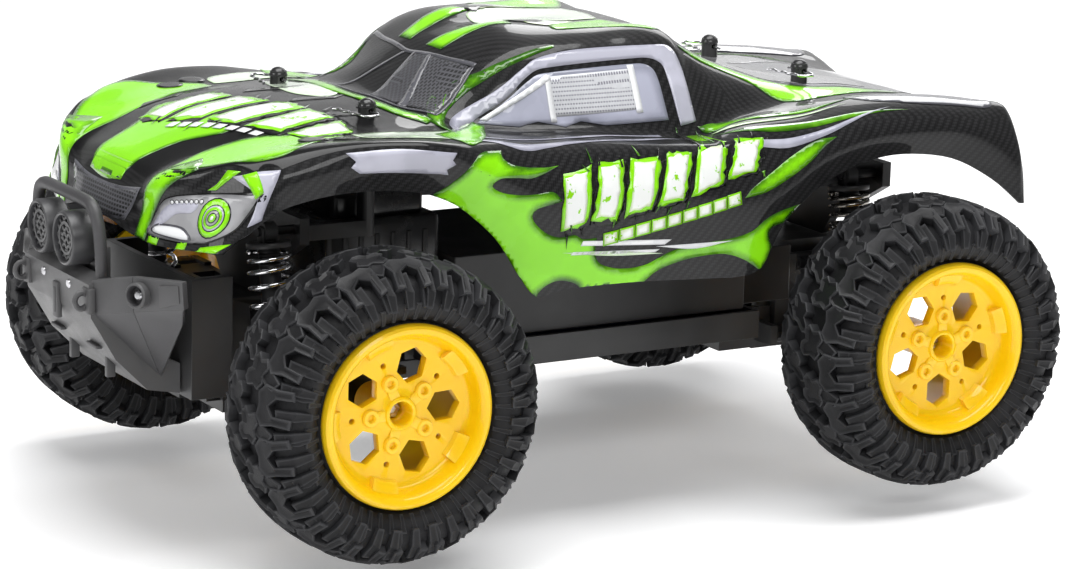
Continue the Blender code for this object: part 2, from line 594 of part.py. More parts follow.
def shock(end, label, side, pins, finish):
    """Damper cylinder, rod and spring along the line between the two pins."""
    top, bottom = (Vector((x, side * y, z)) for x, y, z in pins)
    length = (bottom - top).length
    along = (bottom - top).normalized()
    x = top.x

    def at(distance):
        return top + along * distance

    travel = 7.5
    cylinder_end = 0.50 * length
    collar = length - 9.0
    base = rod(at(2.5), at(cylinder_end), 5.0, 12)
    adds = [
        pin(x - 2.4, x + 2.4, top.y, top.z, 3.8, 10),
        rod(at(4.0), at(6.0), COLLAR_RADIUS, 16),
    ]
    cuts = [
        pin(x - 6, x + 6, top.y, top.z, 2.15, 8),
        rod(at(5.5), at(cylinder_end + 5), 2.3, 8),
    ]
    piece(f"shock_cylinder_{end}_{label}", "plastic", base, adds, cuts, top)
    rod_top = 6.2 + travel if length > 50 else 12.2
    base = rod(at(rod_top), at(length - 2.8), 1.7, 8)
    adds = [
        rod(at(collar), at(collar + 2.0), COLLAR_RADIUS, 16),
        pin(x - 2.0, x + 2.0, bottom.y, bottom.z, 4.2, 10),
    ]
    cuts = [pin(x - 6, x + 6, bottom.y, bottom.z, 2.7, 8)]
    piece(f"shock_rod_{end}_{label}", "steel", base, adds, cuts, bottom)
    turns = 7 if length > 50 else 5
    coil(f"shock_spring_{end}_{label}", finish, at(6.0 + GAP), at(collar - GAP),
         COIL_RADIUS, WIRE_RADIUS, turns)


def wheel(end, label, x, side):
    """Yellow dished rim with five six-sided windows, and a hollow tyre round it."""
    face, inner = WHEEL_FACE_Y - 100, RIM_INNER_Y - 100
    lip, seat = RIM_LIP_RADIUS, RIM_SEAT_RADIUS
    profile = [
        (lip, face), (lip, face - 3), (seat, face - 4.5), (seat, inner + 4), (lip, inner + 2.5),
        (lip, inner), (31, inner), (30.6, 13), (7, 13), (7, -4), (HUB_BORE_RADIUS, -4),
        (HUB_BORE_RADIUS, 6), (4.6, 6), (4.6, 19.5), (7, 19.5), (9, 17.5), (28, 17.5),
        (31, face - 2.5), (32.6, face),
    ]
    centre = (x, side * 100, AXLE_Z)
    rim = turned(f"rim_{end}_{label}", "rim", profile, centre, side)
    windows = []
    first = 0.46 if end == "front" else 0.76
    for i in range(5):
        angle = 2 * math.pi * (i + first) / 5
        cx, cz = x + 18.3 * math.cos(angle), AXLE_Z + 18.3 * math.sin(angle)
        windows.append(rod((cx, side * 104, cz), (cx, side * 123, cz), 6.2, 6))
    add_booleans(rim, windows, "DIFFERENCE")
    outer, low = TYRE_OUTER_Y - 100, TYRE_INNER_Y - 100
    middle, half = (outer + low) / 2, (outer - low) / 2
    radius = TYRE_RADIUS
    profile = [
        (lip + 0.4, middle + half - 7.0), (41, middle + half - 0.8), (47, middle + half),
        (53.5, middle + half - 1.6), (radius, middle + half * 0.62),
        (radius, middle - half * 0.62), (53.5, middle - half + 1.6), (47, middle - half),
        (41, middle - half + 0.8), (lip + 0.4, middle - half + 6.2),
        (seat + GAP, middle - half + 9), (seat + GAP, middle - half + 12),
        (48, middle - half + 4), (52.5, middle - half + 9), (52.5, middle + half - 9),
        (48, middle + half - 4), (seat + GAP, middle + half - 13),
        (seat + GAP, middle + half - 8.5),
    ]
    turned(f"tyre_{end}_{label}", "rubber", profile, centre, side)


def bumper():
    """Front guard: a bent skid plate, two wings, and a hoop round the lamps."""
    side_view = [(156.3, 50), (170, 53), (183, 66), (193, 83), (194, 96), (188, 99.2),
                 (182, 96), (184, 86), (174, 70), (156.3, 62)]
    stand = Matrix(((1, 0, 0, 0), (0, 0, -1, 0), (0, 1, 0, 0), (0, 0, 0, 1)))
    base = plate(side_view, 62, stand)
    adds = []
    for side in (1, -1):
        top_view = [(193.5, side * 30), (176.5, side * 72), (170, side * 70), (183, side * 28)]
        adds.append(plate(top_view, 13, Matrix.Translation((0, 0, 97.5))))
        adds.append(rod((187.5, side * 29, 96), (189, side * 28, 124.5), 2.0, 10))
        adds.append(rod((193, side * 28.8, 90), (200, side * 28.8, 90), 3.6, 12))
    adds.append(block((187, -30.5, 123), (191, 30.5, 128)))
    adds.append(block((181, -23, 95), (185.5, 23, 108)))
    piece("front_bumper", "bumper", base, adds)
    for side, label in ((1, "left"), (-1, "right")):
        pod = rod((186.0, side * 12.2, 110.2), (196.5, side * 12.2, 110.2), 10.4, 24)
        piece(f"lamp_{label}", "lens", pod)


def corner(end, side):
    label = "left" if side > 0 else "right"
    front = end == "front"
    x = FRONT_AXLE_X if front else REAR_AXLE_X
    pins = FRONT_SHOCK if front else REAR_SHOCK
    lower_pin, upper_pin = (pins[1], None) if front else (None, pins[1])
    arm(f"lower_arm_{end}_{label}", x, side, LOWER_ARM_Z, LOWER_REACH, lower_pin)
    arm(f"upper_arm_{end}_{label}", x, side, UPPER_ARM_Z, UPPER_REACH, upper_pin)
    hub_carrier(f"hub_carrier_{end}_{label}", x, side, not front)
    shock(end, label, side, pins, "chrome" if front else "dark_wire")
    wheel(end, label, x, side)
    if front:
        knuckle(side, label)
        return
    stub = rod((x, side * 68.5, AXLE_Z), (x, side * 111, AXLE_Z), STUB_RADIUS, 10)
    cup = rod((x, side * 66.5, AXLE_Z), (x, side * 70.5, AXLE_Z), 4.5, 10)
    piece(f"rear_axle_{label}", "steel", stub, [cup], pivot=(x, side * 100, AXLE_Z))
    bar = rod((x, side * 21.5, AXLE_Z), (x, side * 65, AXLE_Z), 2.2, 8)
    cup = rod((x, side * 21.0, AXLE_Z), (x, side * 26, AXLE_Z), 4.0, 10)
    piece(f"drive_shaft_{label}", "steel", bar, [cup], pivot=(x, side * ARM_INNER_Y, AXLE_Z))


def build():
    chassis_tub()
    chassis_cover()
    gearbox()
    drive_train()
    battery_and_board()
    steering()
    tower("front_shock_tower", 116.0, FRONT_SHOCK[0][0], FRONT_SHOCK[0][1], FRONT_SHOCK[0][2],
          54, 82.3, FRONT_POSTS)
    tower("rear_shock_tower", -150.0, REAR_SHOCK[0][0], REAR_SHOCK[0][1], REAR_SHOCK[0][2],
          56, 82.3, REAR_POSTS)
    for end in ("front", "rear"):
        for side in (1, -1):
            corner(end, side)
    bumper()
    body_shell()
    body_clips()


build()
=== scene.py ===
import json
import math
import random

import bmesh
import bpy
import numpy as np
from mathutils import Matrix, Vector
from mathutils.bvhtree import BVHTree
from mathutils.geometry import delaunay_2d_cdt

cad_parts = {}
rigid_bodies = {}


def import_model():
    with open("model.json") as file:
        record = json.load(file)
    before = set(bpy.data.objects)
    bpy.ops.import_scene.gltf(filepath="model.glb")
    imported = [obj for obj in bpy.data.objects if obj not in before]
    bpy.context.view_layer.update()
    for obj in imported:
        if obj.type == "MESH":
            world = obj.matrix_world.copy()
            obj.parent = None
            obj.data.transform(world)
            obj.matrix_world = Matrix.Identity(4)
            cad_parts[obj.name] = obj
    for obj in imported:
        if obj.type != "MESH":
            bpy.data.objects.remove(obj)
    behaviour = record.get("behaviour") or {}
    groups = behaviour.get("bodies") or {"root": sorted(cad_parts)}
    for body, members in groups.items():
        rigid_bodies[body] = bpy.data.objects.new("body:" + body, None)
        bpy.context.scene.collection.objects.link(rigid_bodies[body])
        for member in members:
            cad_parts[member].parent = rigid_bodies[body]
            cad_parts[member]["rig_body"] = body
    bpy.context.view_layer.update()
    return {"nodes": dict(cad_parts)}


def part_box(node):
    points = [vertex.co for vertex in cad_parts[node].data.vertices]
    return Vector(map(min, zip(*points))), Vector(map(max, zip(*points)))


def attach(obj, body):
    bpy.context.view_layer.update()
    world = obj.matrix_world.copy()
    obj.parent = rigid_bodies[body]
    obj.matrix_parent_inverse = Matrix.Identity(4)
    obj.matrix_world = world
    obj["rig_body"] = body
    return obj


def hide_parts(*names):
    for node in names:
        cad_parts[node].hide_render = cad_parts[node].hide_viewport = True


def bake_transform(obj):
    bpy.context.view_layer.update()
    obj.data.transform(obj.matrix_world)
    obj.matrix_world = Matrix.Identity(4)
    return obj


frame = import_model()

# All shapes below are worked out in millimetres, +X forward, +Y the truck's left, +Z up.
mm = 0.001
turn = 2 * math.pi
scene = bpy.context.scene
scene.view_settings.view_transform = "Standard"

# Camera and light.
cameraLook = {"place": (726.1, 1264.3, 407.5), "azimuth": 59.6, "elevation": 12.98, "roll": 1.37,
              "lens": 124.4, "sensor": 36}


def linked(name, data):
    made = bpy.data.objects.new(name, data)
    scene.collection.objects.link(made)
    return made


def placeCamera(look):
    a, e, r = (math.radians(look[key]) for key in ("azimuth", "elevation", "roll"))
    back = Vector((math.cos(a) * math.cos(e), math.sin(a) * math.cos(e), math.sin(e)))
    side = (-back).cross(Vector((0, 0, 1))).normalized()
    up = side.cross(-back)
    side, up = side * math.cos(r) + up * math.sin(r), up * math.cos(r) - side * math.sin(r)
    camera = linked("camera", bpy.data.cameras.new("camera"))
    turned = Matrix((side, up, back)).transposed().to_4x4()
    camera.matrix_world = Matrix.Translation(Vector(look["place"]) * mm) @ turned
    camera.data.lens = look["lens"]
    camera.data.sensor_width = look["sensor"]
    scene.camera = camera


studio = {
    # name: place, size across and along, watts, aimed at
    "overhead": ((0.0, 0.1, 1.5), (1.5, 1.0), 30, (0, 0, 0.05)),
    "leftSoft": ((0.5, 1.7, 1.25), (1.3, 0.5), 13, (0, 0, 0.08)),
    "frontSoft": ((1.9, -0.2, 1.0), (0.8, 0.6), 9, (0.1, 0, 0.08)),
    "backSoft": ((-1.4, -1.2, 1.1), (1.4, 0.7), 12, (0, 0, 0.1)),
}
roomLook = {"colour": (1.0, 1.0, 1.0, 1), "strength": 0.16}


def lightStudio():
    for name, (place, size, watts, target) in studio.items():
        lamp = bpy.data.lights.new(name, "AREA")
        lamp.shape, lamp.size, lamp.size_y, lamp.energy = "RECTANGLE", size[0], size[1], watts
        holder = linked(name, lamp)
        holder.location = place
        holder.rotation_euler = (Vector(target) - Vector(place)).to_track_quat("-Z", "Y").to_euler()
    world = bpy.data.worlds.new("studio")
    world.use_nodes = True
    background = world.node_tree.nodes["Background"]
    background.inputs["Color"].default_value = roomLook["colour"]
    background.inputs["Strength"].default_value = roomLook["strength"]
    scene.world = world


placeCamera(cameraLook)
lightStudio()
print("camera and studio ready")


# Finishes. A value wraps a socket, so that shader maths reads as sums.
class Value:
    def __init__(self, finish, socket):
        self.finish, self.socket = finish, socket

    def sum(self, operation, *others):
        return self.finish.node("ShaderNodeMath", {"operation": operation}, dict(enumerate((self, *others))))

    def size(self):
        return self.sum("ABSOLUTE")

    def __add__(self, other):
        return self.sum("ADD", other)

    def __mul__(self, other):
        return self.sum("MULTIPLY", other)

    def __sub__(self, other):
        return self.sum("SUBTRACT", other)

    def __rsub__(self, other):
        return self.finish.node("ShaderNodeMath", {"operation": "SUBTRACT"}, {0: other, 1: self})

    def __truediv__(self, other):
        return self.sum("DIVIDE", other)

    def __mod__(self, other):
        return self.sum("FLOORED_MODULO", other)

    def __lt__(self, other):
        return self.sum("LESS_THAN", other)

    def __gt__(self, other):
        return self.sum("GREATER_THAN", other)

    __radd__, __rmul__ = __add__, __mul__


class Finish:
    def __init__(self, name, **fixed):
        self.material = bpy.data.materials.new(name)
        self.material.use_nodes = True
        self.tree = self.material.node_tree
        self.shader = self.tree.nodes["Principled BSDF"]
        for key, value in fixed.items():
            self.shader.inputs[key.replace("_", " ").title().replace("Ior", "IOR")].default_value = value
        self.where = self.node("ShaderNodeTexCoord", out=3)

    def node(self, kind, settings=None, sockets=None, out=0):
        made = self.tree.nodes.new(kind)
        for key, value in (settings or {}).items():
            if key == "stops":
                ramp = made.color_ramp
                while len(ramp.elements) < len(value):
                    ramp.elements.new(0.5)
                for element, (place, colour) in zip(ramp.elements, value):
                    element.position, element.color = place, (*colour, 1)
            else:
                setattr(made, key, value)
        for key, value in (sockets or {}).items():
            if isinstance(value, Value):
                self.tree.links.new(value.socket, made.inputs[key])
            else:
                socket = made.inputs[key]
                colour = socket.type == "RGBA" and isinstance(value, tuple) and len(value) == 3
                socket.default_value = (*value, 1) if colour else value
        return Value(self, made.outputs[out])

    def mix(self, share, first, second):
        return self.node("ShaderNodeMix", {"data_type": "RGBA"}, {0: share, 6: first, 7: second}, out=2)

    def blend(self, share, first, second):
        return self.node("ShaderNodeMix", {"data_type": "FLOAT"}, {0: share, 2: first, 3: second})

    def noise(self, scale, detail=3.0, roughness=0.55, where=None):
        return self.node("ShaderNodeTexNoise", {}, {"Vector": where or self.where, "Scale": scale,
                                                    "Detail": detail, "Roughness": roughness})

    def axes(self, source=None):
        made = self.node("ShaderNodeSeparateXYZ", {}, {0: source or self.where})
        sockets = made.socket.node.outputs
        return [Value(self, sockets[i]) for i in range(3)]

    def facing(self):
        normal = self.node("ShaderNodeNewGeometry", out=1)
        return self.axes(normal)

    def range(self, value, low, high):
        return self.node("ShaderNodeMapRange", {"interpolation_type": "SMOOTHSTEP"},
                         {"Value": value, "From Min": low, "From Max": high})

    # Share of convex edges, read from pointiness; the finishes mix a lighter colour in there.
    def convexEdges(self):
        return self.range(self.node("ShaderNodeNewGeometry", out=7), 0.52, 0.60)

    def bump(self, height, distance, strength=1.0):
        return self.node("ShaderNodeBump", {},
                         {"Strength": strength, "Distance": distance, "Height": height})

    def feed(self, **links):
        for key, value in links.items():
            self.tree.links.new(value.socket, self.shader.inputs[key.replace("_", " ").title()])
        return self.material


def plasticFinish(name, colour, roughness, grain=0.00004, speck=0.35, edgeTone=(0.10, 0.10, 0.10), **fixed):
    made = Finish(name, **fixed)
    dust = made.noise(60, 4)
    fine = made.noise(2600, 2)
    light = tuple(channel * (1 + speck) + 0.002 for channel in colour)
    dark = tuple(channel * (1 - speck * 0.5) for channel in colour)
    tone = made.mix(made.range(dust, 0.35, 0.7), dark, light)
    tone = made.mix(made.convexEdges() * 0.5, tone, edgeTone)
    rough = made.range(dust + fine * 0.3, 0.3, 0.9) * 0.18 + (roughness - 0.09)
    return made.feed(base_color=tone, roughness=rough, normal=made.bump(fine + dust * 0.4, grain))


def metalFinish(name, colour, roughness, brush=900, **fixed):
    made = Finish(name, metallic=1.0, **fixed)
    x, y, z = made.axes()
    streak = made.noise(brush, 2, where=made.node("ShaderNodeCombineXYZ", {}, {0: x * 0.05, 1: y, 2: z}))
    cloud = made.noise(70, 3)
    tone = made.mix(made.range(cloud, 0.35, 0.7), tuple(c * 0.72 for c in colour), colour)
    rough = made.range(streak, 0.3, 0.7) * 0.12 + (roughness - 0.04)
    return made.feed(base_color=tone, roughness=rough, normal=made.bump(streak, 0.00002))


# Woven shell: the tow's width, its lit and shaded colours (painted sheen on the tows), the plain nose's
# colour, and where each begins.
weave = {"tow": 1.02 * mm, "litTow": (0.026, 0.026, 0.027), "shadedTow": (0.0025, 0.0025, 0.0028),
         "plain": (0.004, 0.004, 0.0045), "plainFrom": (0.055, 0.075), "flatFrom": 0.62}


def carbonFinish(name, plainHood):
    made = Finish(name, coat_weight=0.55, coat_roughness=0.03, coat_ior=1.40, specular_ior_level=0.08)
    x, y, z = made.axes()
    nz = made.facing()[2]
    flat = nz.size() > weave["flatFrom"]
    across = x / weave["tow"]
    along = made.blend(flat, z, y) / weave["tow"]
    cellA, cellB = across.sum("FLOOR"), along.sum("FLOOR")
    over = ((cellA + cellB) % 4) < 1.5
    humpA = (across * math.pi).sum("SINE").size()
    humpB = (along * math.pi).sum("SINE").size()
    hump = made.blend(over, humpA, humpB)
    # Painted sheen: tows lying on top and the middle of each tow are painted lighter, the rest darker.
    paintedTowSheen = made.blend(over, hump * 0.45 + 0.1, hump * 0.5 + 0.5) * (made.noise(220, 2) * 0.7 + 0.6)
    tone = made.mix(paintedTowSheen, weave["shadedTow"], weave["litTow"])
    if plainHood:
        smoothPart = made.range(x, *weave["plainFrom"]) * flat
        tone = made.mix(smoothPart, tone, weave["plain"])
    haze = made.range(made.noise(35, 4), 0.4, 0.8)
    return made.feed(base_color=tone, roughness=haze * 0.12 + 0.34, normal=made.bump(hump, 0.00003, 0.5))


filmGloss = {"coat_weight": 1.0, "coat_roughness": 0.03, "coat_ior": 1.42, "specular_ior_level": 0.15}


def filmFinish(name, inner, edge, reach, streak, flecks=None, **fixed):
    made = Finish(name, **{**filmGloss, **fixed})
    depth = made.node("ShaderNodeAttribute", {"attribute_name": "rim"}, out=2)
    cloud = made.noise(45, 3)
    share = made.range(depth + (made.noise(1500, 2) - 0.5) * 0.10, 0.0, reach)
    tone = made.mix(share, edge, inner)
    bright = tuple(min(1.0, c * 1.25 + 0.015) for c in inner)
    tone = made.mix(made.range(cloud, 0.42, 0.75) * streak, tone, bright)
    if flecks:
        torn = made.noise(flecks[0], 5, 0.7)
        tone = made.mix(made.range(torn, flecks[1], flecks[1] + 0.02), tone, flecks[2])
    fine = made.noise(1800, 2)
    rough = made.range(cloud, 0.3, 0.8) * 0.1 + 0.22
    return made.feed(base_color=tone, roughness=rough, normal=made.bump(fine, 0.000006))


netLook = {"flatFrom": 0.45,
           "aheadFrom": 0.6}  # how far a surface faces up or ahead before the net turns with it


def netFinish(name, thread, hole, pitch, holeSize, sheen=0.3):
    made = Finish(name, coat_weight=1.0, coat_roughness=0.05)
    x, y, z = made.axes()
    nx, _, nz = made.facing()
    flat = nz.size() > netLook["flatFrom"]
    ahead = nx.size() > netLook["aheadFrom"]
    down = made.blend(ahead, made.blend(flat, z, y), z)
    rows = down / (pitch[1] * mm)
    shift = (rows.sum("FLOOR") % 2) * 0.5
    cellU, cellV = (made.blend(ahead, x, y) / (pitch[0] * mm) + shift).sum("FRACT"), rows.sum("FRACT")
    gap = ((cellU - 0.5).size() < holeSize[0]) * ((cellV - 0.5).size() < holeSize[1])
    tone = made.mix(gap, made.mix(made.noise(300, 2), tuple(c * 0.75 for c in thread), thread), hole)
    return made.feed(base_color=tone, roughness=made.noise(90) * 0.2 + sheen,
                     normal=made.bump(1 - gap, 0.00003))


def rubberFinish(name):
    made = Finish(name, specular_ior_level=0.28)
    dust = made.noise(40, 5)
    fine = made.noise(1400, 3)
    tone = made.mix(made.range(dust, 0.4, 0.75), (0.006, 0.006, 0.007), (0.017, 0.017, 0.019))
    tone = made.mix(made.convexEdges() * 0.5, tone, (0.055, 0.056, 0.060))
    rough = made.range(dust + fine * 0.4, 0.4, 1.0) * 0.2 + 0.46
    return made.feed(base_color=tone, roughness=rough, normal=made.bump(fine + dust, 0.00012, 0.8))


def rimFinish(name):
    made = Finish(name, coat_weight=0.5, coat_roughness=0.08, specular_ior_level=0.2,
                  subsurface_weight=0.10, subsurface_scale=0.001)
    cloud = made.noise(28, 4)
    fine = made.noise(1700, 2)
    tone = made.mix(made.range(cloud, 0.35, 0.75), (0.90, 0.55, 0.0015), (0.97, 0.62, 0.003))
    tone = made.mix(made.convexEdges() * 0.35, tone, (1.0, 0.70, 0.10))
    rough = made.range(cloud + fine * 0.3, 0.4, 1.0) * 0.14 + 0.28
    return made.feed(base_color=tone, roughness=rough, normal=made.bump(fine, 0.00002))


def floorFinish(name):
    made = Finish(name, specular_ior_level=0.15, emission_strength=0.22)
    cloud = made.noise(3, 3)
    tone = made.mix(cloud, (0.93, 0.93, 0.935), (0.955, 0.955, 0.96))
    return made.feed(base_color=tone, emission_color=tone, roughness=cloud * 0.1 + 0.5,
                     normal=made.bump(made.noise(400, 2), 0.00002))


lime, darkLime = (0.235, 0.700, 0.0012), (0.022, 0.100, 0.001)
finishes = {
    "carbon": carbonFinish("carbonShell", True),
    "inside": plasticFinish("shellInside", (0.05, 0.052, 0.055), 0.22, 0.00001, coat_weight=0.6,
                            coat_roughness=0.1),
    "lime": filmFinish("limeFilm", lime, darkLime, 0.42, 0.5),
    "limePlain": filmFinish("limePlainFilm", lime, (0.16, 0.46, 0.001), 0.12, 0.5),
    "torn": filmFinish("tornWhiteFilm", (0.80, 0.82, 0.80), (0.62, 0.72, 0.45), 0.15, 0.3,
                       (190, 0.60, (0.24, 0.62, 0.002))),
    "pale": filmFinish("paleFilm", (0.70, 0.80, 0.66), (0.50, 0.66, 0.40), 0.2, 0.5),
    # Pale lilac film: a painted reflection of the softboxes, laid on top-facing parts of the shell.
    "lavender": filmFinish("paintedReflectionFilm", (0.42, 0.42, 0.49), (0.33, 0.33, 0.40), 0.2, 0.8),
    "glass": filmFinish("windowFilm", (0.40, 0.41, 0.50), (0.24, 0.25, 0.31), 0.6, 0.6),
    "silver": filmFinish("silverFilm", (0.30, 0.30, 0.31), (0.12, 0.12, 0.125), 0.35, 0.9),
    "white": filmFinish("whiteFilm", (0.82, 0.83, 0.84), (0.70, 0.71, 0.73), 0.1, 0.3),
    "black": filmFinish("blackFilm", (0.003, 0.003, 0.0035), (0.006, 0.006, 0.006), 0.3, 0.5, None,
                        coat_weight=0.55),
    "grey": filmFinish("greyFilm", (0.10, 0.10, 0.115), (0.07, 0.07, 0.08), 0.2, 0.8),
    "darkNet": netFinish("darkNetFilm", (0.095, 0.095, 0.108), (0.006, 0.006, 0.007), (2.0, 1.5),
                         (0.34, 0.30)),
    "whiteNet": netFinish("whiteNetFilm", (0.66, 0.67, 0.70), (0.20, 0.20, 0.24), (1.2, 1.6), (0.30, 0.18)),
    "plastic": plasticFinish("blackPlastic", (0.008, 0.008, 0.009), 0.36, specular_ior_level=0.32),
    "gloss": plasticFinish("glossPlastic", (0.010, 0.010, 0.011), 0.22, 0.00001),
    "greyPlastic": plasticFinish("guardPlastic", (0.038, 0.037, 0.040), 0.46, 0.00007, 0.3,
                                 (0.13, 0.13, 0.13)),
    "lampBlack": plasticFinish("lampPlastic", (0.030, 0.030, 0.033), 0.36, 0.00004),
    "whitePlastic": plasticFinish("gearPlastic", (0.62, 0.62, 0.59), 0.4, 0.00003, 0.12, (0.8, 0.8, 0.78)),
    "amber": plasticFinish("amberPlastic", (0.80, 0.26, 0.004), 0.25, 0.00002, 0.2, (0.9, 0.4, 0.05)),
    "board": plasticFinish("boardFinish", (0.015, 0.11, 0.045), 0.35, 0.00002, 0.5),
    "wrap": plasticFinish("batteryWrap", (0.03, 0.06, 0.26), 0.28, 0.00002, 0.3),
    "rubber": rubberFinish("tyreRubber"),
    "rim": rimFinish("yellowRim"),
    "chrome": metalFinish("chromeWire", (0.86, 0.86, 0.88), 0.10),
    "darkWire": metalFinish("darkWire", (0.34, 0.32, 0.29), 0.20),
    "steel": metalFinish("brightSteel", (0.60, 0.60, 0.62), 0.26),
    "floor": floorFinish("studioFloor"),
}
print("finishes made:", len(finishes))


# Helpers for meshes.
bothSides = ((1, "left"), (-1, "right"))
merged = 0.001  # points this near each other become one


def meshOf(name, shape, scale=1):
    if scale != 1:
        bmesh.ops.scale(shape, vec=(scale,) * 3, verts=shape.verts)
    mesh = bpy.data.meshes.new(name)
    shape.to_mesh(mesh)
    shape.free()
    mesh.shade_smooth()
    return mesh


def finishPiece(name, shape, finish, body, stands=(), angle=35, scale=mm):
    mesh = meshOf(name, shape, scale)
    mesh.set_sharp_from_angle(angle=math.radians(angle))
    made = linked(name, mesh)
    mesh.materials.append(finishes[finish])
    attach(made, body)
    if stands:
        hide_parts(*stands)
    return made


def addRing(shape, profile, place, steps):
    rings = [[shape.verts.new(place(radius, along, turn * i / steps)) for radius, along in profile]
             for i in range(steps)]
    size = len(profile)
    for first, second in zip(rings, rings[1:] + rings[:1]):
        for j in range(size):
            k = (j + 1) % size
            shape.faces.new((first[j], first[k], second[k], second[j]))


def addTube(shape, path, radius, sides, closed=False):
    points = [Vector(p) for p in path]
    count = len(points)
    rings, previous = [], None
    for i, point in enumerate(points):
        ahead = points[(i + 1) % count] if closed or i + 1 < count else points[i]
        behind = points[i - 1] if closed or i > 0 else points[i]
        along = (ahead - behind).normalized()
        if previous is None:
            previous = along.orthogonal().normalized()
        previous = (previous - along * previous.dot(along)).normalized()
        other = along.cross(previous)
        rings.append([shape.verts.new(point + previous * radius * math.cos(turn * k / sides)
                                      + other * radius * math.sin(turn * k / sides)) for k in range(sides)])
    for first, second in list(zip(rings, rings[1:])) + ([(rings[-1], rings[0])] if closed else []):
        for k in range(sides):
            shape.faces.new((first[k], first[(k + 1) % sides], second[(k + 1) % sides], second[k]))
    if not closed:
        shape.faces.new(rings[0][::-1])
        shape.faces.new(rings[-1])


def addBlock(shape, low, high, bevel, segments=2):
    made = bmesh.ops.create_cube(shape, size=1.0)["verts"]
    low, high = Vector(low), Vector(high)
    bmesh.ops.scale(shape, vec=high - low, verts=made)
    bmesh.ops.translate(shape, vec=(high + low) / 2, verts=made)
    edges = list({edge for vert in made for edge in vert.link_edges})
    bmesh.ops.bevel(shape, geom=edges, offset=bevel, segments=segments, affect="EDGES", profile=0.5)


def addPlate(shape, outline, low, high, place, bevel):
    face = shape.faces.new([shape.verts.new((x, y, low)) for x, y in outline])
    raised = bmesh.ops.extrude_face_region(shape, geom=[face])["geom"]
    top = [item for item in raised if isinstance(item, bmesh.types.BMVert)]
    bmesh.ops.translate(shape, vec=(0, 0, high - low), verts=top)
    made = list(face.verts) + top
    middle = (low + high) / 2
    edges = list({edge for vert in made for edge in vert.link_edges
                  if abs(edge.verts[0].co.z - edge.verts[1].co.z) < 1e-6 and edge.verts[0].co.z > middle})
    rounded = bmesh.ops.bevel(shape, geom=edges, offset=bevel, segments=2, affect="EDGES",
                              profile=0.5)["faces"]
    made = list({v for f in rounded for v in f.verts} | {v for v in made if v.is_valid})
    bmesh.ops.transform(shape, matrix=place, verts=made)


def addBlocks(shape, blocks, segments=2):
    for low, high, bevel in blocks:
        addBlock(shape, low, high, bevel, segments)


def closeUp(shape, merge=False):
    if merge:
        bmesh.ops.remove_doubles(shape, verts=shape.verts, dist=merged)
    bmesh.ops.recalc_face_normals(shape, faces=shape.faces)


def aroundAxle(centre=0.0, side=1):
    return lambda r, wide, angle: (centre + r * math.cos(angle), wide * side, r * math.sin(angle))


def aroundPost(x, y):
    return lambda radius, high, angle: (x + radius * math.cos(angle), y + radius * math.sin(angle), high)


def aroundRod(start, along):
    across = along.orthogonal().normalized()
    third = along.cross(across)
    return lambda r, h, a: start + along * h + r * (math.cos(a) * across + math.sin(a) * third)


def rightSide(shape):
    bmesh.ops.scale(shape, vec=(1, -1, 1), verts=shape.verts)
    bmesh.ops.reverse_faces(shape, faces=shape.faces)


def boxMm(node):
    low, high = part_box(node)
    return low / mm, high / mm


def smoothThrough(rows, steps):
    ease, most = 0.95, 1.15  # how strongly the curve leans on its neighbours, and how far
    rows = np.asarray(rows, float)
    gaps = np.diff(rows, axis=0)
    lengths = np.linalg.norm(gaps, axis=-1, keepdims=True)
    slopes = np.zeros_like(rows)
    slopes[1:-1] = ease * (gaps[:-1] + gaps[1:]) / 2
    slopes[0], slopes[-1] = gaps[0] * ease, gaps[-1] * ease
    room = np.full_like(slopes[..., :1], 1e9)
    room[1:-1] = most * np.minimum(lengths[:-1], lengths[1:])
    size = np.linalg.norm(slopes, axis=-1, keepdims=True)
    slopes *= np.minimum(1, room / np.maximum(size, 1e-9))
    out = []
    for i in range(len(rows) - 1):
        for t in np.arange(steps) / steps:
            a, b, c, d = 2 * t**3 - 3 * t**2 + 1, t**3 - 2 * t**2 + t, 3 * t**2 - 2 * t**3, t**3 - t**2
            out.append(a * rows[i] + b * slopes[i] + c * rows[i + 1] + d * slopes[i + 1])
    return np.array(out + [rows[-1]])


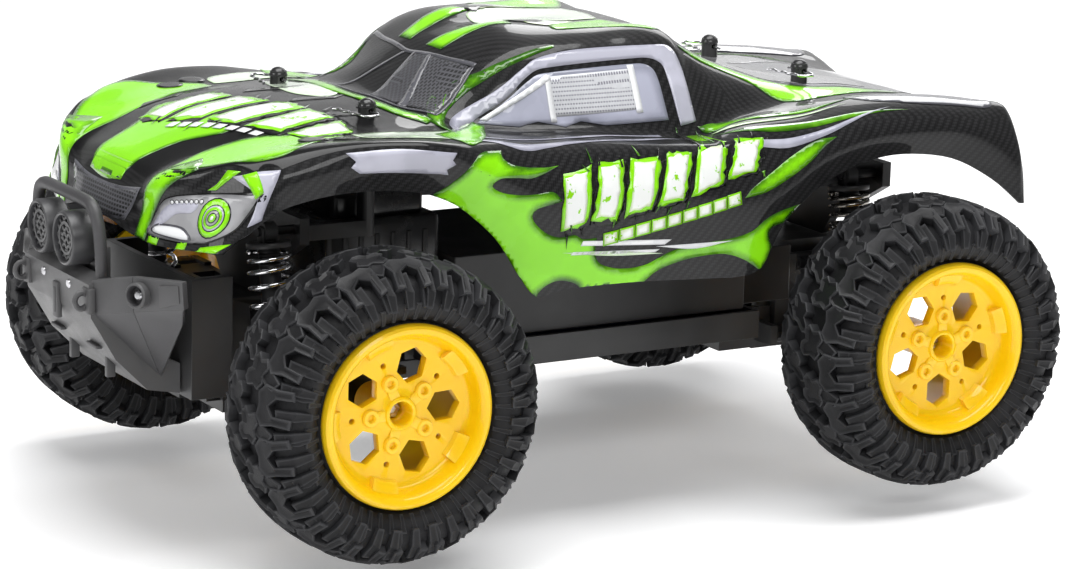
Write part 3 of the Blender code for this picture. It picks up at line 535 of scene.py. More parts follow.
# Body shell: outlines of its left half from nose to tail, each from the centre line by the bonnet or roof
# edge, the waist and the fender crest to the side and the lower edge.
shellSections = (
    ((179, 0, 117), (178.7, 16, 117), (176.8, 30, 114), (174, 45, 112.5), (170.5, 58, 113),
     (167, 70, 114), (164.5, 77, 114.5), (162.5, 80, 115)),
    ((175.5, 0, 125), (175.3, 16, 125), (174.3, 30, 123), (172.8, 45, 125), (167.5, 58, 127),
     (163, 69, 128), (158.5, 77.5, 125), (156.8, 82, 120)),
    ((173, 0, 132.5), (172.9, 16, 132.3), (172.5, 31, 131.5), (171.5, 45, 137.5),
     (164.5, 60, 141), (155, 70.5, 144), (152.5, 80, 137), (153.5, 84, 122.3)),
    ((167, 0, 139.5), (166.8, 16, 139.2), (166, 31, 138.3), (160, 42.5, 141.5),
     (154, 60, 144.5), (147, 75, 147), (145.5, 83.5, 140), (146, 85.5, 128)),
    ((139, 0, 150.5), (139, 18, 150.2), (139, 33, 149), (139, 44, 147.8), (139, 60, 148.5),
     (139, 78.5, 149.5), (139, 86.5, 143), (139, 87, 131.6)),
    ((124, 0, 153.5), (124, 18, 153), (124, 35, 152), (124, 48, 150.2), (124, 66, 150.5),
     (124, 83.5, 152), (124, 89, 145), (124, 88, 134.5)),
    ((107, 0, 154.8), (107, 18, 154.5), (107, 37, 153), (107, 56, 150.8), (107, 72, 151.6),
     (107, 88, 153.2), (107, 91, 146), (107, 88, 135)),
    ((87, 0, 155.2), (87, 18, 155), (87, 38, 153), (87, 63, 150.7), (87, 76, 151.4),
     (87, 91, 152.4), (87, 93, 145), (87, 88, 133)),
    ((73, 0, 155.6), (73, 18, 155.3), (73, 40, 153.4), (73, 60, 150.8), (73, 75, 150.6),
     (73, 91, 150.4), (73, 93.5, 143), (73, 88, 128.3)),
    ((63, 0, 156.4), (63, 20, 155.8), (63, 43, 153.6), (63, 58, 150.6), (63, 75, 149.8),
     (63, 88.5, 148.8), (63, 93.5, 140), (63, 88.5, 121.5)),
    ((53, 0, 163.5), (53, 22, 162), (52, 45, 156.5), (52, 56, 150.4), (52, 73, 149),
     (52, 87, 147.6), (52, 93.3, 135), (52.6, 89, 111.6)),
    ((44, 0, 170), (44, 22, 168.5), (43, 46, 162.8), (43, 57, 150.2), (43, 73, 148.2),
     (43, 86.5, 146.2), (43, 93.2, 131), (44.5, 90, 99)),
    ((36, 0, 175.2), (36, 22, 174), (36, 47.5, 168.6), (36, 59, 150), (36, 74, 147.5),
     (36, 86, 145.2), (36, 93.2, 128), (36, 90.5, 88.9)),
    ((26, 0, 178.3), (26, 22, 179.6), (26, 49.5, 173.2), (26, 61, 149.5), (26, 74, 146.8),
     (26, 86.3, 144.3), (26, 93.4, 126), (26, 90, 90)),
    ((16, 0, 179.1), (16, 22, 182.3), (16, 50, 175.3), (16, 62.5, 149), (16, 74.5, 146.3),
     (16, 86.5, 143.7), (16, 93.7, 125), (16, 90, 90.6)),
    ((-2, 0, 180), (-2, 22, 182.0), (-2, 49, 176.6), (-2, 65, 147.7), (-2, 76, 145),
     (-2, 87, 142.3), (-2, 94, 124), (-2, 90, 90.5)),
    ((-18, 0, 180.3), (-18, 22, 180.6), (-18, 48.3, 177.5), (-18, 67, 145.5), (-18, 77, 143.2),
     (-18, 87, 140.7), (-18, 93.8, 122.5), (-18, 90, 89.9)),
    ((-36, 0, 180.2), (-36, 22, 179.8), (-36, 48.3, 178), (-36, 68, 142.8), (-36, 78, 141.5),
     (-36, 86.8, 139.4), (-36, 93, 121), (-36, 90, 88.8)),
    ((-47, 0, 178.8), (-47, 22, 178.4), (-47, 48, 176), (-48, 68.5, 140.8), (-48, 78, 140.5),
     (-48, 86, 138.8), (-48, 92, 120), (-48, 90, 88.2)),
    ((-54, 0, 175), (-54, 21, 174.5), (-54, 46.5, 171.8), (-54, 66, 142), (-54, 76, 142.3),
     (-54, 84.5, 139.6), (-54, 91.5, 119), (-54, 90, 87.8)),
    ((-66, 0, 168.8), (-66, 20, 168.4), (-66, 44.5, 165.5), (-66, 62.5, 145.5), (-66, 72, 145.2),
     (-66, 82.5, 141.6), (-66, 90.5, 121), (-66.5, 90, 90.5)),
    ((-79, 0, 163), (-79, 20, 162.8), (-79, 43, 160.5), (-79, 58.5, 147), (-79, 69, 146.3),
     (-79, 81.5, 142.4), (-79, 89, 124), (-79, 88, 108)),
    ((-97, 0, 156.5), (-97, 20, 156.3), (-97, 42, 154.8), (-97, 56, 148.8), (-97, 68, 147.4),
     (-97, 81, 143.8), (-97, 87.5, 133), (-97, 86, 120.5)),
    ((-118, 0, 152.6), (-118, 20, 152.4), (-118, 42, 151.6), (-118, 56, 149.8),
     (-118, 68, 150), (-118, 80, 146.6), (-118, 86, 138), (-118, 84, 127.5)),
    ((-138, 0, 151), (-138, 20, 151), (-138, 42, 150.2), (-138, 56, 149.2), (-138, 68, 150.6),
     (-138, 79, 147.3), (-138, 85, 139), (-138, 83, 129.3)),
    ((-163, 0, 146.5), (-163, 20, 146.5), (-163, 42, 146), (-163, 54, 146.8), (-163, 66, 148.8),
     (-163, 77, 146.3), (-163, 84, 138), (-163, 82, 125.5)),
    ((-183, 0, 141.5), (-183, 20, 141.5), (-183, 42, 141.6), (-183, 53, 143.3), (-183, 64, 145.8),
     (-183, 75, 144.2), (-183, 83.5, 133), (-183, 83.5, 115.5)),
    ((-196, 0, 136), (-196, 20, 136), (-196, 42, 136.5), (-196, 52, 139), (-196, 62, 142),
     (-196, 73, 142.6), (-196, 83, 127), (-196, 85.5, 105)),
    ((-199.8, 0, 126), (-199.8, 20, 126), (-199.8, 42, 126), (-199.8, 52, 127.5), (-199.8, 62, 131),
     (-199.8, 71.5, 133.5), (-199.5, 81.5, 121), (-199, 85, 104.5)),
)

# Steps between two outlines, thickness, the four holes for the posts, and the angle that counts as sharp.
shellLook = {"along": 5, "across": 6, "thickness": 1.2, "hole": 4.2, "holeDepth": 40, "holeDrop": 6,
             "sharp": 38}


def shellGrid():
    left = smoothThrough(shellSections, shellLook["along"])
    right = left[:, :0:-1] * np.array((1, -1, 1))
    full = np.concatenate([right, left], axis=1)
    return smoothThrough(full.transpose(1, 0, 2), shellLook["across"]).transpose(1, 0, 2)


def shellShape(grid):
    rows, columns = grid.shape[:2]
    points = [tuple(p) for p in grid.reshape(-1, 3)]
    faces = [(i * columns + j, i * columns + j + 1, (i + 1) * columns + j + 1, (i + 1) * columns + j)
             for i in range(rows - 1) for j in range(columns - 1)]
    return points, faces


shellPoints, shellFaces = shellShape(shellGrid())
shellTree = BVHTree.FromPolygons(shellPoints, shellFaces)
postTops = {"front": (82.0, 38.1, 158.5), "rear": (-119.6, 33.9, 160.0)}


def makeShell():
    shape = bmesh.new()
    points = [shape.verts.new(p) for p in shellPoints]
    for face in shellFaces:
        shape.faces.new([points[i] for i in face])
    shell = finishPiece("moulded_body", shape, "carbon", "chassis", ["body_shell"])
    shell.data.materials.append(finishes["inside"])
    skin = shell.modifiers.new("skin", "SOLIDIFY")
    skin.thickness, skin.offset, skin.use_even_offset = shellLook["thickness"] * mm, -1, True
    skin.material_offset = 1
    skin.material_offset_rim = 0
    cutter = bmesh.new()
    for x, y, z in postTops.values():
        for side in (1, -1):
            place = Matrix.Translation((x, side * y, z - shellLook["holeDrop"]))
            bmesh.ops.create_cone(cutter, cap_ends=True, segments=32, radius1=shellLook["hole"],
                                  radius2=shellLook["hole"], depth=shellLook["holeDepth"], matrix=place)
    holder = linked("postHoles", meshOf("postHoles", cutter, mm))
    cut = shell.modifiers.new("holes", "BOOLEAN")
    cut.operation, cut.object, cut.solver = "DIFFERENCE", holder, "EXACT"
    graph = bpy.context.evaluated_depsgraph_get()
    final = bpy.data.meshes.new_from_object(shell.evaluated_get(graph))
    shell.modifiers.clear()
    shell.data = final
    bpy.data.objects.remove(holder)
    final.shade_smooth()
    final.set_sharp_from_angle(angle=math.radians(shellLook["sharp"]))


makeShell()
print("body shell done")


# Films: thin shapes laid on the shell: printed ones, and pale lilac ones that are painted reflections of the
# lights.
filmLook = {"lift": 0.12, "step": 0.10, "grid": 1.8, "edge": 1.1, "inside": 0.6, "reach": 80, "thick": 0.05,
            "fade": 8.0}
filmParts = {}
views = {  # where a flat outline sits before it is dropped on the shell, and the way it drops
    "side": (lambda a, b: Vector((a, 300, b)), Vector((0, -1, 0)), lambda a, b: Vector((a, 89, b))),
    "top": (lambda a, b: Vector((a, b, 400)), Vector((0, 0, -1)), lambda a, b: Vector((a, b, 150))),
    "front": (lambda a, b: Vector((400, a, b)), Vector((-1, 0, 0)), lambda a, b: Vector((174, a, b))),
}


def roundOutline(outline, rounded):
    count = len(outline)
    out = []
    for i in range(count):
        before, here, there, after = (outline[(i + k) % count] for k in (-1, 0, 1, 2))
        p, q = np.array(here[:2], float), np.array(there[:2], float)
        gap = np.linalg.norm(q - p)
        steps = max(1, int(gap / filmLook["edge"]))
        if not rounded:
            out += [p + (q - p) * k / steps for k in range(steps)]
            continue
        slopeP = (q - np.array(before[:2])) / 2 if len(here) == 2 else (q - p)
        slopeQ = (np.array(after[:2]) - p) / 2 if len(there) == 2 else (q - p)
        for slope in (slopeP, slopeQ):
            size = np.linalg.norm(slope)
            slope *= min(1, 1.3 * gap / max(size, 1e-9))
        for k in range(steps):
            t = k / steps
            out.append((2 * t**3 - 3 * t**2 + 1) * p + (t**3 - 2 * t**2 + t) * slopeP
                       + (3 * t**2 - 2 * t**3) * q + (t**3 - t**2) * slopeQ)
    return np.array(out)


def edgeDistance(points, loop):
    start, end = loop, np.roll(loop, -1, axis=0)
    along = end - start
    size = np.maximum((along**2).sum(1), 1e-12)
    out = np.empty(len(points))
    for i, p in enumerate(points):
        t = np.clip(((p - start) * along).sum(1) / size, 0, 1)
        out[i] = np.sqrt(((start + along * t[:, None] - p) ** 2).sum(1).min())
    return out


def insideLoop(points, loop):
    x, y = points[:, 0:1], points[:, 1:2]
    x0, y0 = loop[:, 0], loop[:, 1]
    x1, y1 = np.roll(x0, -1), np.roll(y0, -1)
    with np.errstate(divide="ignore", invalid="ignore"):
        hits = ((y0 > y) != (y1 > y)) & (x < (x1 - x0) * (y - y0) / (y1 - y0) + x0)
    return hits.sum(1) % 2 == 1


def film(finish, view, outline, layer=0, rounded=True, both=True):
    loop = roundOutline(outline, rounded)
    low, high = loop.min(0), loop.max(0)
    step = filmLook["grid"]
    gridA, gridB = np.meshgrid(np.arange(low[0], high[0], step), np.arange(low[1], high[1], step))
    inner = np.c_[gridA.ravel(), gridB.ravel()]
    inner = inner[insideLoop(inner, loop)] if len(inner) else inner
    if len(inner):
        inner = inner[edgeDistance(inner, loop) > filmLook["inside"]]
    flat = [Vector(p) for p in loop] + [Vector(p) for p in inner]
    edges = [(i, (i + 1) % len(loop)) for i in range(len(loop))]
    points, _, faces = delaunay_2d_cdt(flat, edges, [], 1, 1e-4)[:3]
    start, way, guess = views[view]
    depth = edgeDistance(np.array([tuple(p) for p in points]), loop)
    placed = []
    for p in points:
        spot, normal = shellTree.ray_cast(start(*p), way)[:2]
        if spot is None or (spot - guess(*p)).length > filmLook["reach"]:
            spot, normal = shellTree.find_nearest(guess(*p))[:2]
        if normal.dot(way) > 0:
            normal = -normal
        placed.append(spot + normal * (filmLook["lift"] + layer * filmLook["step"]))
    filmParts.setdefault(finish, []).append((placed, [list(f) for f in faces], depth, both))


def layFilms():
    for finish, parts in filmParts.items():
        shape = bmesh.new()
        rim = shape.verts.layers.float.new("rim")
        for points, faces, depth, both in parts:
            for side in (1, -1) if both else (1,):
                made = []
                for p, d in zip(points, depth):
                    vert = shape.verts.new((p.x, p.y * side, p.z))
                    vert[rim] = min(1.0, d / filmLook["fade"])
                    made.append(vert)
                for face in faces:
                    if len(set(face)) == 3:
                        shape.faces.new([made[i] for i in face])
        bmesh.ops.dissolve_degenerate(shape, dist=0.02, edges=shape.edges)
        for face in shape.faces:
            face.normal_update()
        loose = [v for v in shape.verts if not v.link_faces]
        bmesh.ops.delete(shape, geom=loose, context="VERTS")
        wrong = []
        for face in shape.faces:
            near = shellTree.find_nearest(face.calc_center_median())[1]
            out = near if near.dot(Vector((0, 0, 1))) > -0.2 or abs(near.y) > 0.5 else -near
            if face.normal.dot(out) < 0:
                wrong.append(face)
        bmesh.ops.reverse_faces(shape, faces=wrong)
        piece = finishPiece("film_" + finish, shape, finish, "chassis", angle=50)
        skin = piece.modifiers.new("skin", "SOLIDIFY")
        skin.thickness, skin.offset = filmLook["thick"] * mm, -1


# Door and side. Outlines are (x, z); a third value marks a sharp corner.
doorFlame = [(61, 146.5), (66, 143.5), (70, 139.5), (75, 135), (80, 132, 1), (80, 129, 1), (73, 126),
             (63, 119), (53, 109), (45, 97), (40, 90), (36.5, 87, 1), (35, 90.5), (31, 93.3), (26, 94.2),
             (21, 93.2), (17, 91), (16, 87, 1), (-9, 87, 1), (-17, 93.5), (-26, 96.5), (-36.5, 98),
             (-48, 98), (-57.5, 95), (-67, 89, 1), (-71.5, 98.5, 1), (-70, 101.5), (-69.5, 104.5),
             (-72, 106.8), (-77.5, 107.5, 1), (-86, 114, 1), (-75, 112.5), (-67.5, 110), (-61, 106),
             (-51.5, 104), (-42, 103.5), (-32.5, 103), (-23.5, 101.5), (-18.5, 99.5), (-12, 97), (-5, 96.3),
             (2, 97), (8.5, 99.5), (11, 103.5), (11, 110, 1), (17, 110), (21, 112), (27, 111.5), (33, 113.5),
             (38, 117.5), (40, 121), (38, 123.5), (33, 124.5), (27, 125.8, 1), (31, 129.5), (38, 129.3),
             (45, 129.5), (53, 131), (57.5, 134), (54, 136.5), (46, 136), (40, 135.3), (34, 136.4),
             (27, 138.8, 1), (34, 138.6), (43, 139.7), (49, 141.5), (52, 144), (51.5, 146.2, 1)]
film("lime", "side", doorFlame)
film("lime", "side", [(-104, 139.5, 1), (-98, 136.5), (-90, 131), (-80, 125.5), (-68, 121), (-57, 119.5, 1),
                      (-62, 123.5), (-72, 128.5), (-84, 134.5), (-94, 138.5)])
film("pale", "side", [(26, 105.3, 1), (4, 102.2), (-20, 101, 1), (0, 103.8)], 1)
film("white", "side", [(-16, 104.2, 1), (-52, 103.1, 1), (-34, 101.6)], 1)
film("white", "side", [(18, 107.4, 1), (-20, 104.6, 1), (-23, 106.4, 1), (17, 109.3, 1)], 1, False)
film("white", "side", [(22, 104.0, 1), (-16, 101.9, 1), (-18, 102.9, 1), (21, 105.2, 1)], 1, False)


# Torn slashes: a row of plain slanted shards, each an outline in a unit square.
blockShapes = (
    [(0.00, 0.00), (0.30, 1.00), (1.04, 0.96), (0.72, 0.04)],
    [(0.02, 0.08), (0.22, 0.60), (0.34, 1.02), (1.00, 1.00), (0.86, 0.50), (0.70, 0.00)],
    [(0.04, 0.00), (0.26, 0.98), (0.98, 1.02), (0.90, 0.66), (0.76, 0.06)],
    [(0.00, 0.04), (0.32, 0.96), (0.64, 1.02), (1.02, 0.92), (0.80, 0.40), (0.68, -0.02)],
)


def raggedLoop(rng, outline, pieces, ragged):
    points = []
    for (u0, v0), (u1, v1) in zip(outline, outline[1:] + outline[:1]):
        for k in range(pieces):
            t = k / pieces
            points.append((u0 + (u1 - u0) * t + rng.uniform(-ragged, ragged),
                           v0 + (v1 - v0) * t + rng.uniform(-ragged, ragged)))
    return points


def grownAbout(outline, wide, tall):
    return [(0.5 + (u - 0.5) * wide, 0.5 + (v - 0.5) * tall) for u, v in outline]


def layBlocks(look):
    rng = random.Random(look["seed"])
    low, high = np.array(look["low"], float), np.array(look["high"], float)
    for i in range(len(low) - 1):
        corner = [low[i], low[i + 1], high[i], high[i + 1]]

        def place(points):
            out = []
            for u, v in points:
                bottom, top = corner[0] * (1 - u) + corner[1] * u, corner[2] * (1 - u) + corner[3] * u
                out.append(tuple(bottom * (1 - v) + top * v))
            return out

        def lay(finish, points, layer):
            film(finish, look["view"], place(points), layer, False, look["both"])

        outline = blockShapes[(i * 3 + look["seed"]) % len(blockShapes)]
        middle, grown = grownAbout(outline, 0.86, 0.98), grownAbout(outline, 1.16, 1.14)
        lay("black", [(u + 0.10, v - 0.08) for u, v in raggedLoop(rng, grown, 5, 0.06)], 1)
        lay("limePlain", raggedLoop(rng, grown, 5, 0.045), 2)
        lay("torn", raggedLoop(rng, middle, 4, 0.026), 3)
        for k in range(look["scratches"]):
            u, v = rng.uniform(0, 1), rng.choice((rng.uniform(-0.16, 0.06), rng.uniform(0.94, 1.14)))
            du, dv = rng.uniform(-0.16, 0.16), rng.uniform(0.14, 0.30) * (1 if v > 0.5 else -1)
            lay("lime" if k % 2 else "black", [(u, v), (u + 0.07, v), (u + du, v + dv)], 4)


sideBlocks = {"view": "side", "seed": 2, "both": True, "scratches": 4,
              "low": [(27, 114.6), (13.5, 116.4), (-1, 118.6), (-16.5, 121), (-32, 123.6), (-50, 127.2),
                      (-68, 130.6)],
              "high": [(29.5, 134.4), (14, 136.0), (-0.5, 137.2), (-17, 138.0), (-33, 138.9), (-51, 140.0),
                       (-69, 140.6)]}
bonnetBlocks = {"view": "top", "seed": 1, "both": False, "scratches": 3,
                "low": [(149, -23), (143, -6), (136, 12), (128, 31), (121, 48), (113, 62)],
                "high": [(120, -33), (115, -16), (108, 2), (101, 20), (97, 37), (98, 56)]}
layBlocks(sideBlocks)
for i in range(9):
    x, z = 7.5 - i * 7.1, 109.0 + i * 1.22
    film("limePlain", "side", [(x + 0.6, z - 2.6), (x + 1.0, z + 2.6), (x - 5.8, z + 3.6),
                               (x - 6.2, z - 1.6)], 2, False)
    film("torn", "side", [(x, z - 1.9), (x + 0.4, z + 1.9), (x - 5.0, z + 2.8), (x - 5.4, z - 1.0)], 3,
         False)

# Side window and its frame, and the lines under it; the pale lilac frame and lines are painted reflections
# of the lights. Outlines are (x, z) where steep and (x, y) where flat.
film("lavender", "side", [(58, 149.5, 1), (36, 161), (23, 169.5), (15, 173.2), (-4, 175.2), (-42, 174.8),
                          (-47, 172), (-49, 164), (-50, 146, 1), (-42, 145, 1), (-40, 166), (-37, 169.5),
                          (-30, 170.8), (14, 169.5), (22, 166.5), (32, 158.5), (46, 150.5, 1)], 1)
film("glass", "side", [(44, 150.4, 1), (33, 157), (22, 164.8), (15, 167.6), (-28, 168.8), (-34, 167),
                       (-36, 162), (-37, 147.5, 1), (-8, 147.5, 1), (2, 149.5, 1), (9, 147.8, 1),
                       (20, 150.2, 1), (28, 148.8, 1)], 1)
film("whiteNet", "side", [(13, 166.4, 1), (-24, 167.2, 1), (-24, 152.3, 1), (13, 151.5, 1)], 2, False)
for bar in ([(14.5, 167, 1), (12, 167, 1), (12, 149.6, 1), (14.5, 149.6, 1)],
            [(-23, 168.5, 1), (-26, 168.5, 1), (-26, 151, 1), (-23, 151, 1)],
            [(13.5, 167.3, 1), (42.5, 151.5, 1), (40, 151, 1), (11.5, 165.6, 1)]):
    film("white", "side", bar, 3, False)
# Pale lilac lines along the window's lower edge: painted reflections of the lights.
film("lavender", "top", [(60, 79, 1), (45, 84), (36, 84.2), (-6, 78.5), (-45, 71.5, 1), (-45, 73.2, 1),
                         (-6, 80.6), (38, 86.8), (46, 86.6), (60, 82, 1)], 1)
film("lavender", "top", [(54, 73, 1), (43, 77), (34, 77.2), (-4, 72.6), (-30, 69.2, 1), (-31, 70.6, 1),
                         (-4, 74.4), (36, 79.4), (44, 79.2), (56, 75, 1)], 1)
print("side films done")

# Shoulder behind the cabin, buttress, bed and rear fender.
film("lime", "top", [(-52, 47, 1), (-60, 46.5), (-74, 45), (-88, 47), (-98, 56), (-112, 57.5), (-134, 53),
                     (-158, 47, 1), (-168, 38, 1), (-150, 43.5), (-126, 43), (-108, 41.5), (-96, 37.5),
                     (-84, 37.5), (-66, 41), (-53, 45, 1)], 1)
film("grey", "top", [(-55, 44, 1), (-68, 39.5), (-84, 36), (-96, 36), (-108, 40), (-126, 41.5), (-150, 42),
                     (-176, 34, 1), (-186, 20), (-187, 0), (-187, -20), (-176, -34, 1), (-150, -42),
                     (-126, -41.5), (-108, -40), (-96, -36), (-84, -36), (-68, -39.5), (-55, -44, 1),
                     (-56, 0)], 0, True, False)
film("silver", "top", [(-97, 34), (-110, 37), (-128, 37), (-150, 37), (-152, 20, 1), (-128, 14), (-112, 8),
                       (-112, -8), (-128, -14), (-152, -20, 1), (-150, -37), (-128, -37), (-110, -37),
                       (-97, -34), (-92, 0)], 1, True, False)
film("lime", "top", [(-50, 66, 1), (-58, 64), (-76, 65.5), (-98, 68), (-128, 66, 1), (-100, 70.5), (-78, 70),
                     (-60, 69)], 1)
film("lime", "top", [(-52, 76, 1), (-66, 77.5), (-92, 78.5), (-142, 79.5, 1), (-96, 81.5), (-68, 80.5)], 1)
film("pale", "top", [(-54, 70, 1), (-66, 71.5), (-88, 72.8), (-118, 71, 1), (-88, 74.4), (-66, 74.4),
                     (-55, 73)], 2)
# Pale lilac line on the shoulder: a painted reflection of the lights.
film("lavender", "top", [(-64, 83.2, 1), (-100, 82.8), (-134, 78, 1), (-100, 84.4), (-66, 84.6)], 2)
film("grey", "top", [(-122, 62), (-150, 56), (-176, 56), (-188, 62), (-188, 74), (-170, 76.5), (-146, 76),
                     (-128, 72)], 1)

# Bonnet, (x, y).
film("limePlain", "front", [(-15.5, 137.6, 1), (15.5, 137.6, 1), (14.2, 131.2, 1), (0, 129.6),
                            (-14.2, 131.2, 1)], 0, True, False)
film("lime", "top", [(173.4, -13, 1), (173.7, 0), (173.4, 13, 1), (170, 16.5), (160, 18.5), (151, 21.5),
                     (144, 27), (138, 31), (131, 27), (130, 14), (133, 0), (130, -14), (131, -27),
                     (138, -31), (144, -27), (151, -21.5), (160, -18.5), (170, -16.5)], 0, True, False)
film("lime", "top", [(168, 37, 1), (162, 38), (151, 38), (141, 40.5), (132, 43), (122, 48), (112, 50),
                     (103, 55), (104, 62), (112, 66), (121, 70), (130, 77.5), (138, 80), (146, 76),
                     (153, 69), (160, 61), (166, 50)])


layBlocks(bonnetBlocks)
for i in range(8):
    x, y = 148 - i * 2.3, 0.5 + i * 5.6
    film("white", "top", [(x + 1.0, y), (x - 2.6, y - 0.8), (x - 4.2, y + 3.2), (x - 0.6, y + 4.0)], 5,
         False, False)
for x, y, long, wide in ((92, -20, 15, 2.4), (88, 8, 13, 1.8), (91, 34, 12, 1.6), (132, -40, 10, 2.0),
                         (118, 66, 8, 1.4)):
    film("black", "top", [(x - long, y - wide), (x + long * 0.6, y - wide * 2), (x + long, y + 1),
                          (x + long * 0.2, y + wide), (x - long * 0.5, y + wide * 1.6)], 1, False, False)
film("pale", "top", [(82, -52, 1), (74, -26), (75, 0), (84, 8, 1), (92, -8), (88, -34)], 1, True, False)
film("lime", "top", [(72, -48, 1), (66.5, -34), (71, 0), (66.5, 34), (60, 51, 1), (64.5, 54, 1), (71.5, 40),
                     (75.5, 8), (76, -8), (73.5, -40), (77, -50, 1)], 2, True, False)
film("pale", "top", [(100, 60, 1), (88, 60.5), (67, 65), (55, 60), (48, 55, 1), (44, 60, 1), (52, 72),
                     (60, 84, 1), (68, 80), (84, 76), (98, 70)], 1)
film("lime", "top", [(70, 70, 1), (58, 64), (46, 55.5, 1), (42, 58.5, 1), (50, 74), (58, 85, 1), (66, 88)],
     2)

# Fender top panel, a painted reflection of the lights in pale lilac, and the lamp side, (x, z).
film("lavender", "side", [(117, 150.2, 1), (96, 150.8), (73, 147.8, 1), (75, 145.2, 1), (73.5, 143.5, 1),
                          (77, 141.8, 1), (76, 139.6, 1), (82, 140.5), (98, 142), (112, 142.6, 1),
                          (115.5, 145, 1), (113.5, 147, 1)], 1, True)
print("top films done")


def stripe(finish, view, path, width, layer, both=True):
    path = np.array(path, float)
    along = np.gradient(path, axis=0)
    across = np.c_[-along[:, 1], along[:, 0]] / np.linalg.norm(along, axis=1, keepdims=True)
    wide = np.asarray(width, float).reshape(-1, 1) / 2
    loop = [tuple(p) for p in path + across * wide] + [tuple(p) for p in (path - across * wide)[::-1]]
    count = len(path)
    corners = {0, count - 1, count, 2 * count - 1}
    film(finish, view, [(*p, 1) if i in corners else p for i, p in enumerate(loop)], layer, True, both)


def disc(centre, radius, squash=1.0, points=20):
    return [(centre[0] + radius * squash * math.cos(turn * i / points),
             centre[1] + radius * math.sin(turn * i / points)) for i in range(points)]


# Nose: grille, centre patch, lamp housings. Outlines are (y, z).
film("grey", "front", [(-31, 131.2, 1), (-15, 129.2), (0, 128.7), (15, 129.2), (31, 131.2, 1), (25, 118, 1),
                       (15, 117.6), (-15, 117.6), (-25, 118, 1)], 1, True, False)
film("darkNet", "front", [(-29, 129.8, 1), (-15, 128), (0, 127.6), (15, 128), (29, 129.8, 1),
                          (23.5, 118.6, 1), (14, 118.2), (-14, 118.2), (-23.5, 118.6, 1)], 2, True, False)
film("lime", "front", [(33, 113.6, 1), (34.5, 122), (35.5, 130), (37, 138, 1), (46, 143.5, 1),
                       (60, 142.5, 1), (51, 135), (45.5, 127), (42, 119), (39.5, 112.6, 1)], 1)
lampOutline = [(41, 116.2), (43.5, 121), (48, 128.5), (53, 131.5), (62, 133.5), (73, 135.2), (83, 136, 1),
               (82, 129), (79, 122.5), (73, 118.3), (66, 116.6), (54, 115.6)]
film("black", "front", [(a + (a - 62) * 0.03, b + (b - 125) * 0.06) for a, b, *_ in lampOutline], 1)
film("silver", "front", lampOutline, 2)
# Pale lilac patch in the lamp: a painted reflection of the lights.
film("lavender", "front", [(44, 118.5), (50, 127.5), (58, 130.2), (64, 130.5), (62, 127), (55, 125.5),
                           (50, 121.5)], 3)
film("grey", "front", [(43.5, 117.2), (46.5, 120.6), (57, 121.4), (62, 120), (64.5, 117), (56, 116.2)], 3)
film("white", "front", [(44.5, 117.5), (47, 119.9), (56.6, 120.6), (61, 119.4), (63, 117.3), (56, 116.8)], 4)
for i in range(7):
    film("black", "front", disc((52.8 + i * 2.05, 129.6 + i * 0.32), 0.95), 3)
    film("white", "front", disc((52.8 + i * 2.05, 129.6 + i * 0.32), 0.66), 4)
# The pale lilac ring is a painted reflection of the lights.
lampRings = (("black", 7.4), ("limePlain", 6.9), ("black", 5.0), ("lavender", 4.6), ("limePlain", 4.0),
             ("black", 3.0), ("silver", 2.7), ("black", 1.9), ("limePlain", 1.5), ("white", 0.7))
for layer, (finish, radius) in enumerate(lampRings):
    film(finish, "front", disc((71.5, 126.4), radius, 0.80), 3 + layer * 0.7)
film("limePlain", "front", [(66, 135.8, 1), (68.5, 138.5), (70, 143.6, 1), (74.5, 143.6, 1), (71, 139),
                            (69, 136.2, 1)], 1)
for low, high, slant in ((41, 47, 1.6), (57, 62, 1.2), (69, 78, 5.0)):
    film("limePlain", "front", [(low, 111.8, 1), (high, 112.4, 1), (high + slant, 116.4 + slant / 2, 1),
                                (low + 1, 115.6, 1)], 1)
# Pale lilac patch on the nose's side: a painted reflection of the lights.
film("lavender", "side", [(155, 141.5, 1), (149, 143.6), (141, 145, 1), (144, 139), (147.5, 131),
                          (149, 127, 1), (154, 124.5, 1), (151, 131), (150, 136)], 1)
film("limePlain", "side", [(152.5, 142.4, 1), (148, 144, 1), (147.5, 137, 1), (150.5, 134.5, 1)], 2)

# Windscreen: only printed frame lines and a net on one half, (x, y).
film("darkNet", "top", [(66.5, 11, 1), (65, 22), (63, 33), (57, 47, 1), (38.5, 41, 1), (41, 24),
                        (43.5, 6, 1)], 1, True, False)
stripe("grey", "top", [(36.5, -42), (40, -28), (43, -10), (44.2, 0), (43, 10), (40, 28), (37, 42)], 1.6, 2,
       False)
stripe("grey", "top", [(67, -16), (58, -10), (44.5, -1)], 1.5, 2, False)
stripe("grey", "top", [(67.2, 11), (56, 8.5), (43.5, 5)], 1.2, 2, False)
stripe("grey", "top", [(42.5, 15), (54, 24), (64.5, 33)], [[2.2], [3.2], [4.4]], 2, False)
stripe("grey", "top", [(38, 41.5), (48, 45), (58, 48.4)], 1.8, 2, False)
stripe("grey", "top", [(67.5, -30), (69, 0), (67, 14), (64.6, 34), (57.5, 48.5)], 1.5, 2, False)
stripe("grey", "top", [(36.5, -42), (50, -44.5), (62, -42)], 1.3, 2, False)

